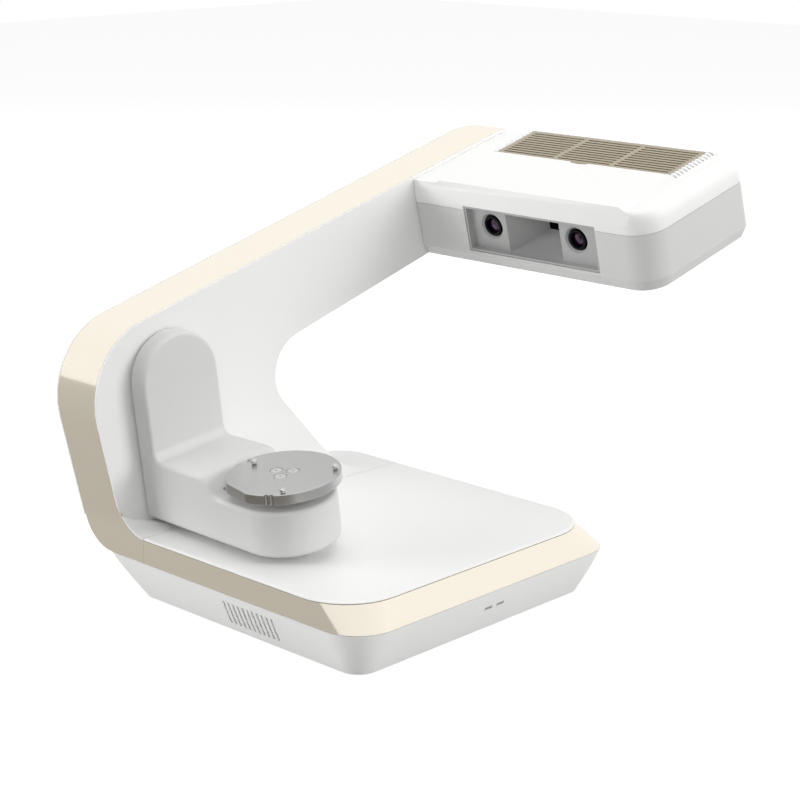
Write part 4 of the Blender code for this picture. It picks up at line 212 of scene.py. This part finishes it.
def turned_metal(name, shade, dark_shade, roughness, axis=(1, 1, 1), spacing=TOOL_MARKS, depth=MARK_DEPTH):
    """Metal with fine parallel tool marks along one axis of its colour, shine and surface."""
    finish, tree, place = new_finish(name)
    stretch = add(tree, "Mapping", {"Scale": axis}, {"Vector": place})
    marks = add(tree, "TexNoise", {"Scale": 1 / spacing, "Detail": MARK_DETAIL},
                {"Vector": stretch.outputs["Vector"]})
    tone = add(tree, "MixRGB", {"Color1": colour(shade), "Color2": colour(dark_shade)},
               {"Fac": marks.outputs["Fac"]})
    shine = add(tree, "MapRange",
                {"To Min": roughness * (1 - MARK_SPREAD), "To Max": roughness * (1 + MARK_SPREAD)},
                {"Value": marks.outputs["Fac"]})
    bump = add(tree, "Bump", {"Strength": MARK_STRENGTH, "Distance": depth},
               {"Height": marks.outputs["Fac"]})
    shader = add(tree, "BsdfPrincipled", {"Metallic": 1.0},
                 {"Base Color": tone.outputs["Color"], "Roughness": shine.outputs["Result"],
                  "Normal": bump.outputs["Normal"]})
    close(tree, shader)
    return finish


def coated_glass(name, shade, painted_sheen_shade):
    """Optical glass with an anti-reflection coat, which mirrors magenta and looks nearly black elsewhere."""
    finish, tree, _ = new_finish(name)
    # Painted sheen: seen edge-on, the colour turns from the dark shade to the lighter, more violet one
    facing = add(tree, "LayerWeight", {"Blend": PAINTED_SHEEN_BLEND})
    tone = add(tree, "MixRGB", {"Color1": colour(shade), "Color2": colour(painted_sheen_shade)},
               {"Fac": facing.outputs["Facing"]})
    shader = add(tree, "BsdfPrincipled",
                 {"Roughness": GLASS_ROUGHNESS, "IOR": GLASS_IOR, "Coat Weight": 1.0,
                  "Coat Roughness": GLASS_COAT_ROUGHNESS, "Coat Tint": colour(GLASS_COAT_TINT)},
                 {"Base Color": tone.outputs["Color"]})
    close(tree, shader)
    return finish


def stand_for(piece, name):
    """Lets a piece stand for a CAD node: it rides on the node's body, and the node is hidden."""
    node = frame["nodes"][name]
    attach(piece, node["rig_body"])
    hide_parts(name)


def all_but(name):
    """The surfaces of every CAD node but one, for measuring the gaps round it."""
    corners, faces = [], []
    for other, node in frame["nodes"].items():
        if other != name:
            first = len(corners)
            corners += [vertex.co.copy() for vertex in node.data.vertices]
            faces += [[first + i for i in face.vertices] for face in node.data.polygons]
    return BVHTree.FromPolygons(corners, faces)


def faces_a_gap(face, others):
    """Whether a triangle lies against another solid, across the narrow gap between two pieces."""
    middle = face.calc_center_median()
    points = [middle] + [vertex.co.lerp(middle, SEAM_PULL) for vertex in face.verts]
    return all(others.ray_cast(point, face.normal, SEAM_REACH)[0] is not None for point in points)


def dress(name, finish, edge, smooth_deg=SMOOTH_DEG, creased=None, seam_edge=0.0):
    """A copy of a CAD node with its facets joined, its edges rounded and its curves smooth.

    Faces inside a seam are painted dark as painted shade, and so are the rims that seam_edge cuts beside them.
    An edge that turns less than smooth_deg stays smooth, unless creased picks it as crisp.
    """
    mesh = frame["nodes"][name].data.copy()
    form = bmesh.new()
    form.from_mesh(mesh)
    bmesh.ops.remove_doubles(form, verts=form.verts, dist=WELD)
    others = all_but(name)
    # faces that lie in a gap get the dark seam finish, a painted shade
    for face in form.faces:
        face.material_index = 1 if faces_a_gap(face, others) else 0
    bmesh.ops.dissolve_limit(form, angle_limit=math.radians(FLAT_DEG), verts=form.verts,
                             edges=form.edges, delimit={"MATERIAL"})
    if seam_edge:
        rims = [line for line in form.edges
                if len(line.link_faces) == 2 and line.calc_face_angle(0.0) > RIM_TURN
                and line.link_faces[0].material_index != line.link_faces[1].material_index]
        bmesh.ops.bevel(form, geom=rims, offset=seam_edge, offset_type="OFFSET", segments=1, profile=0.5,
                        affect="EDGES", clamp_overlap=True, material=1)
    weight = form.edges.layers.float.new("bevel_weight_edge")
    for line in form.edges:
        turn = math.degrees(line.calc_face_angle(0.0))
        middle = (line.verts[0].co + line.verts[1].co) / 2
        dark = seam_edge and any(face.material_index for face in line.link_faces)
        if turn > smooth_deg or (creased and turn > CREASE_DEG and creased(middle)):
            line[weight] = 0.0 if dark else 1.0
            line.smooth = not dark
    for face in form.faces:
        face.smooth = True
    form.to_mesh(mesh)
    form.free()
    mesh.materials.clear()
    mesh.materials.append(finish)
    mesh.materials.append(FINISHES["seam"])
    piece = bpy.data.objects.new("dressed_" + name, mesh)
    bpy.context.scene.collection.objects.link(piece)
    bevel = piece.modifiers.new("edges", "BEVEL")
    bevel.width, bevel.segments, bevel.limit_method = edge, BEVEL_STEPS, "WEIGHT"
    bevel.use_clamp_overlap = True
    shade = piece.modifiers.new("shading", "WEIGHTED_NORMAL")
    shade.keep_sharp, shade.weight = True, NORMAL_WEIGHT
    stand_for(piece, name)


def make_camera():
    """The camera at the photograph's place, turn and lens."""
    data = bpy.data.cameras.new("camera")
    data.lens, data.sensor_width = CAMERA_LENS, SENSOR_WIDTH
    data.clip_start, data.clip_end = CAMERA_CLIP
    camera = bpy.data.objects.new("camera", data)
    camera.location = CAMERA_PLACE
    camera.rotation_euler = [math.radians(a) for a in CAMERA_TURN]
    bpy.context.scene.collection.objects.link(camera)
    bpy.context.scene.camera = camera


def make_panel(name, place, target, width, height, finish):
    """A flat panel that faces a point."""
    corners = [(-width / 2, -height / 2, 0), (width / 2, -height / 2, 0),
               (width / 2, height / 2, 0), (-width / 2, height / 2, 0)]
    mesh = bpy.data.meshes.new(name)
    mesh.from_pydata(corners, [], [(0, 1, 2, 3)])
    mesh.materials.append(finish)
    panel = bpy.data.objects.new(name, mesh)
    panel.location = place
    panel.rotation_euler = (Vector(place) - Vector(target)).to_track_quat("Z", "Y").to_euler()
    bpy.context.scene.collection.objects.link(panel)
    return panel


def seen_directly(tree):
    """1 for rays from the camera, from a mirror or through glass, 0 for the light's own."""
    path = add(tree, "LightPath")
    seen = add(tree, "Math", operation="MAXIMUM",
               links={0: path.outputs["Is Camera Ray"], 1: path.outputs["Is Glossy Ray"]})
    return add(tree, "Math", operation="MAXIMUM",
               links={0: seen.outputs[0], 1: path.outputs["Is Transmission Ray"]})


def make_floor():
    """A white floor that keeps the shadow: eye and mirrors see it glow, the light sees a pale floor."""
    finish, tree, _ = new_finish("floor_paint")
    seen = seen_directly(tree)
    pale = add(tree, "BsdfDiffuse", {"Color": colour(FLOOR_SHADE)})
    glow = add(tree, "Emission", {"Strength": FLOOR_GLOW})
    faint = add(tree, "BsdfDiffuse", {"Color": [FLOOR_SHARE] * 3 + [1.0]})
    shown = add(tree, "AddShader", links={0: glow.outputs[0], 1: faint.outputs[0]})
    both = add(tree, "MixShader", links={0: seen.outputs[0], 1: pale.outputs[0], 2: shown.outputs[0]})
    close(tree, both)
    make_panel("floor", (0, 0, 0), (0, 0, -1), FLOOR_SIDE, FLOOR_SIDE, finish)


def make_world():
    """White where the camera, a mirror or glass sees it, and a plain grey light elsewhere."""
    world = bpy.data.worlds.new("studio")
    world.use_nodes = True
    tree = world.node_tree
    tree.nodes.clear()
    seen = seen_directly(tree)
    strength = add(tree, "MapRange", {"To Min": WORLD_LIGHT, "To Max": 1.0}, {"Value": seen.outputs[0]})
    back = add(tree, "Background", {"Color": colour(WORLD_SHADE)},
               {"Strength": strength.outputs["Result"]})
    add(tree, "OutputWorld", links={"Surface": back.outputs[0]})
    bpy.context.scene.world = world


def make_lamp(name, place, target, width, height, power):
    """A soft box that faces a point."""
    data = bpy.data.lights.new(name, "AREA")
    data.shape, data.size, data.size_y, data.energy = "RECTANGLE", width, height, power
    lamp = bpy.data.objects.new(name, data)
    lamp.location = place
    lamp.rotation_euler = (Vector(place) - Vector(target)).to_track_quat("Z", "Y").to_euler()
    lamp.visible_camera = lamp.visible_glossy = False
    bpy.context.scene.collection.objects.link(lamp)


def make_card(name, place, target, width, height, shade):
    """A card that only mirror rays see: it stands in the studio as a photographer's flag does."""
    cloth, tree, _ = new_finish(name + "_cloth")
    close(tree, add(tree, "Emission", {"Color": colour(shade), "Strength": 1.0}))
    card = make_panel(name, place, target, width, height, cloth)
    card.visible_camera = card.visible_diffuse = card.visible_shadow = card.visible_transmission = False


def make_studio():
    """Floor, world, soft boxes and the cards that the gold band mirrors."""
    make_floor()
    make_world()
    for name, place, width, height, watts in LAMPS:
        make_lamp(name, place, MIDDLE, width, height, watts)
    for name, place, target, width, height, shade in CARDS:
        make_card(name, place, target, width, height, shade)


def from_head(point):
    """A point of the scanner's frame in the scan head's."""
    return Matrix.Rotation(math.radians(HEAD_TILT_DEG), 3, "Y") @ (Vector(point) - Vector(HEAD_ORIGIN))


def cover_crease(point):
    """The head cover's crisp edges: round its plateau, and where its front begins to lean."""
    s, _, n = from_head(point)
    on_plateau = n > SHOULDER_TOP - PLATEAU_PLAY
    return on_plateau or (abs(n - SHOULDER_LOW) < SHOULDER_PLAY and s < HEAD_FRONT + FRONT_PLAY)


def make_finishes():
    """Every finish, under the slot name of the nodes that have it, and some under a name of their own."""
    FINISHES.update({
        # Injection-moulded ABS: smooth, with a soft sheen; the moving arm and the head's lower half are greyer
        "white_plastic": moulded("white_abs", "#F8F8F7", "#F5F5F4"),
        "pale": moulded("pale_grey_abs", "#DEDEDD", "#DADAD9"),
        # Painted shade: inside a gap little light comes back, so the faces there are painted dark
        "seam": moulded("seam_shadow", "#3A3A3A", "#323232", roughness=0.6, depth=0.01 * MM),
        "grey_plastic": moulded("grey_abs", "#A9A9A8", "#A2A2A1", roughness=0.45),
        "black_plastic": moulded("black_abs", "#1B1B1C", "#232324", roughness=0.45),
        # Rubber has a coarser grain and hardly shines
        "rubber": moulded("black_rubber", "#222222", "#2C2C2C", roughness=0.7, grain=0.8 * MM,
                          depth=0.05 * MM),
        # Solder resist lies on the board as a glossy coat
        "circuit_board": moulded("board_lacquer", "#1F5B33", "#184A29", roughness=0.3, grain=1.0 * MM,
                                 coat=0.5),
        "light_guide": moulded("frosted_acrylic", "#8F9499", "#A0A5AA", roughness=0.3, grain=0.6 * MM,
                               depth=0.01 * MM),
        # Sprayed lacquer levels itself before it sets, so it mirrors more sharply than the plastic
        "champagne_gold": lacquered("champagne_lacquer", "#FBF4E6", "#F7EFDF", 0.5, 0.12),
        "silver": moulded("light_grey_abs", "#DBDBDA", "#D7D7D6"),
        # The recess has a rough grain; its grey is painted shade for the hollow, where little light falls
        "recess": moulded("textured_abs_painted_shade", "#B6B6B6", "#B0B0B0", roughness=0.5, grain=0.4 * MM,
                          depth=0.03 * MM),
        "grille": lacquered("grille_lacquer", "#B4A992", "#A69B85", 0.6, 0.32),
        # Metals keep the marks of the tool, along the way that it moved
        "black_metal": turned_metal("black_anodised_aluminium", "#17181A", "#222326", 0.38, (1, 1, 0.2)),
        "aluminium": turned_metal("machined_aluminium", "#C6C8CA", "#B4B6B8", 0.3, (1, 1, 0.1)),
        "brushed_steel": turned_metal("satin_steel", "#CBCBCB", "#BEBEBE", 0.3, (1, 0.1, 1)),
        "polished_steel": turned_metal("polished_steel", "#DADADA", "#D2D2D2", 0.05, depth=POLISH_DEPTH),
        "steel_sheet": turned_metal("galvanised_sheet", "#A9ACAE", "#96999B", 0.45, spacing=SPANGLE),
        # near black glass, with a painted violet sheen at grazing angles
        "lens_glass": coated_glass("coated_glass", "#120A14", "#3B2440"),
    })


def dress_pieces():
    """Smooth copies stand for the nodes that show, and the others keep their mesh and get their finish."""
    for name, node in frame["nodes"].items():
        SLOTS[name] = node.material_slots[0].material.name.split(".")[0]
        for slot in node.material_slots:
            slot.material = FINISHES[SLOTS[name]]
    white, pale, gold = FINISHES["white_plastic"], FINISHES["pale"], FINISHES["champagne_gold"]
    for name in ("lower_housing", "base_top_cover", "arm_front_shell", "arm_rear_cover"):
        dress(name, white, EDGE)
    dress("head_lower_housing", FINISHES["silver"], EDGE, HOUSING_SMOOTH_DEG, seam_edge=SEAM_SHADE_RIM)
    dress("head_top_cover", white, EDGE, creased=cover_crease, seam_edge=SEAM_SHADE_RIM)
    for name in ("swing_shell", "swing_back_plate", "swing_bottom_cover"):
        dress(name, pale, EDGE)
    for name in ("base_band", "arm_band"):
        dress(name, gold, FINE_EDGE)
    dress("head_grille", FINISHES["grille"], FINE_EDGE)
    dress("lens_bezel", FINISHES["recess"], FINE_EDGE)
    dress("turntable_disc", FINISHES["brushed_steel"], FINE_EDGE)
    for k in range(1, 4):
        dress(f"rim_pin_{k}", FINISHES["polished_steel"], FINE_EDGE)
        dress(f"magnet_{k}", FINISHES["polished_steel"], FINE_EDGE)


def main():
    make_camera()
    make_studio()
    make_finishes()
    dress_pieces()
    bpy.context.scene.view_settings.view_transform = "Standard"


main()
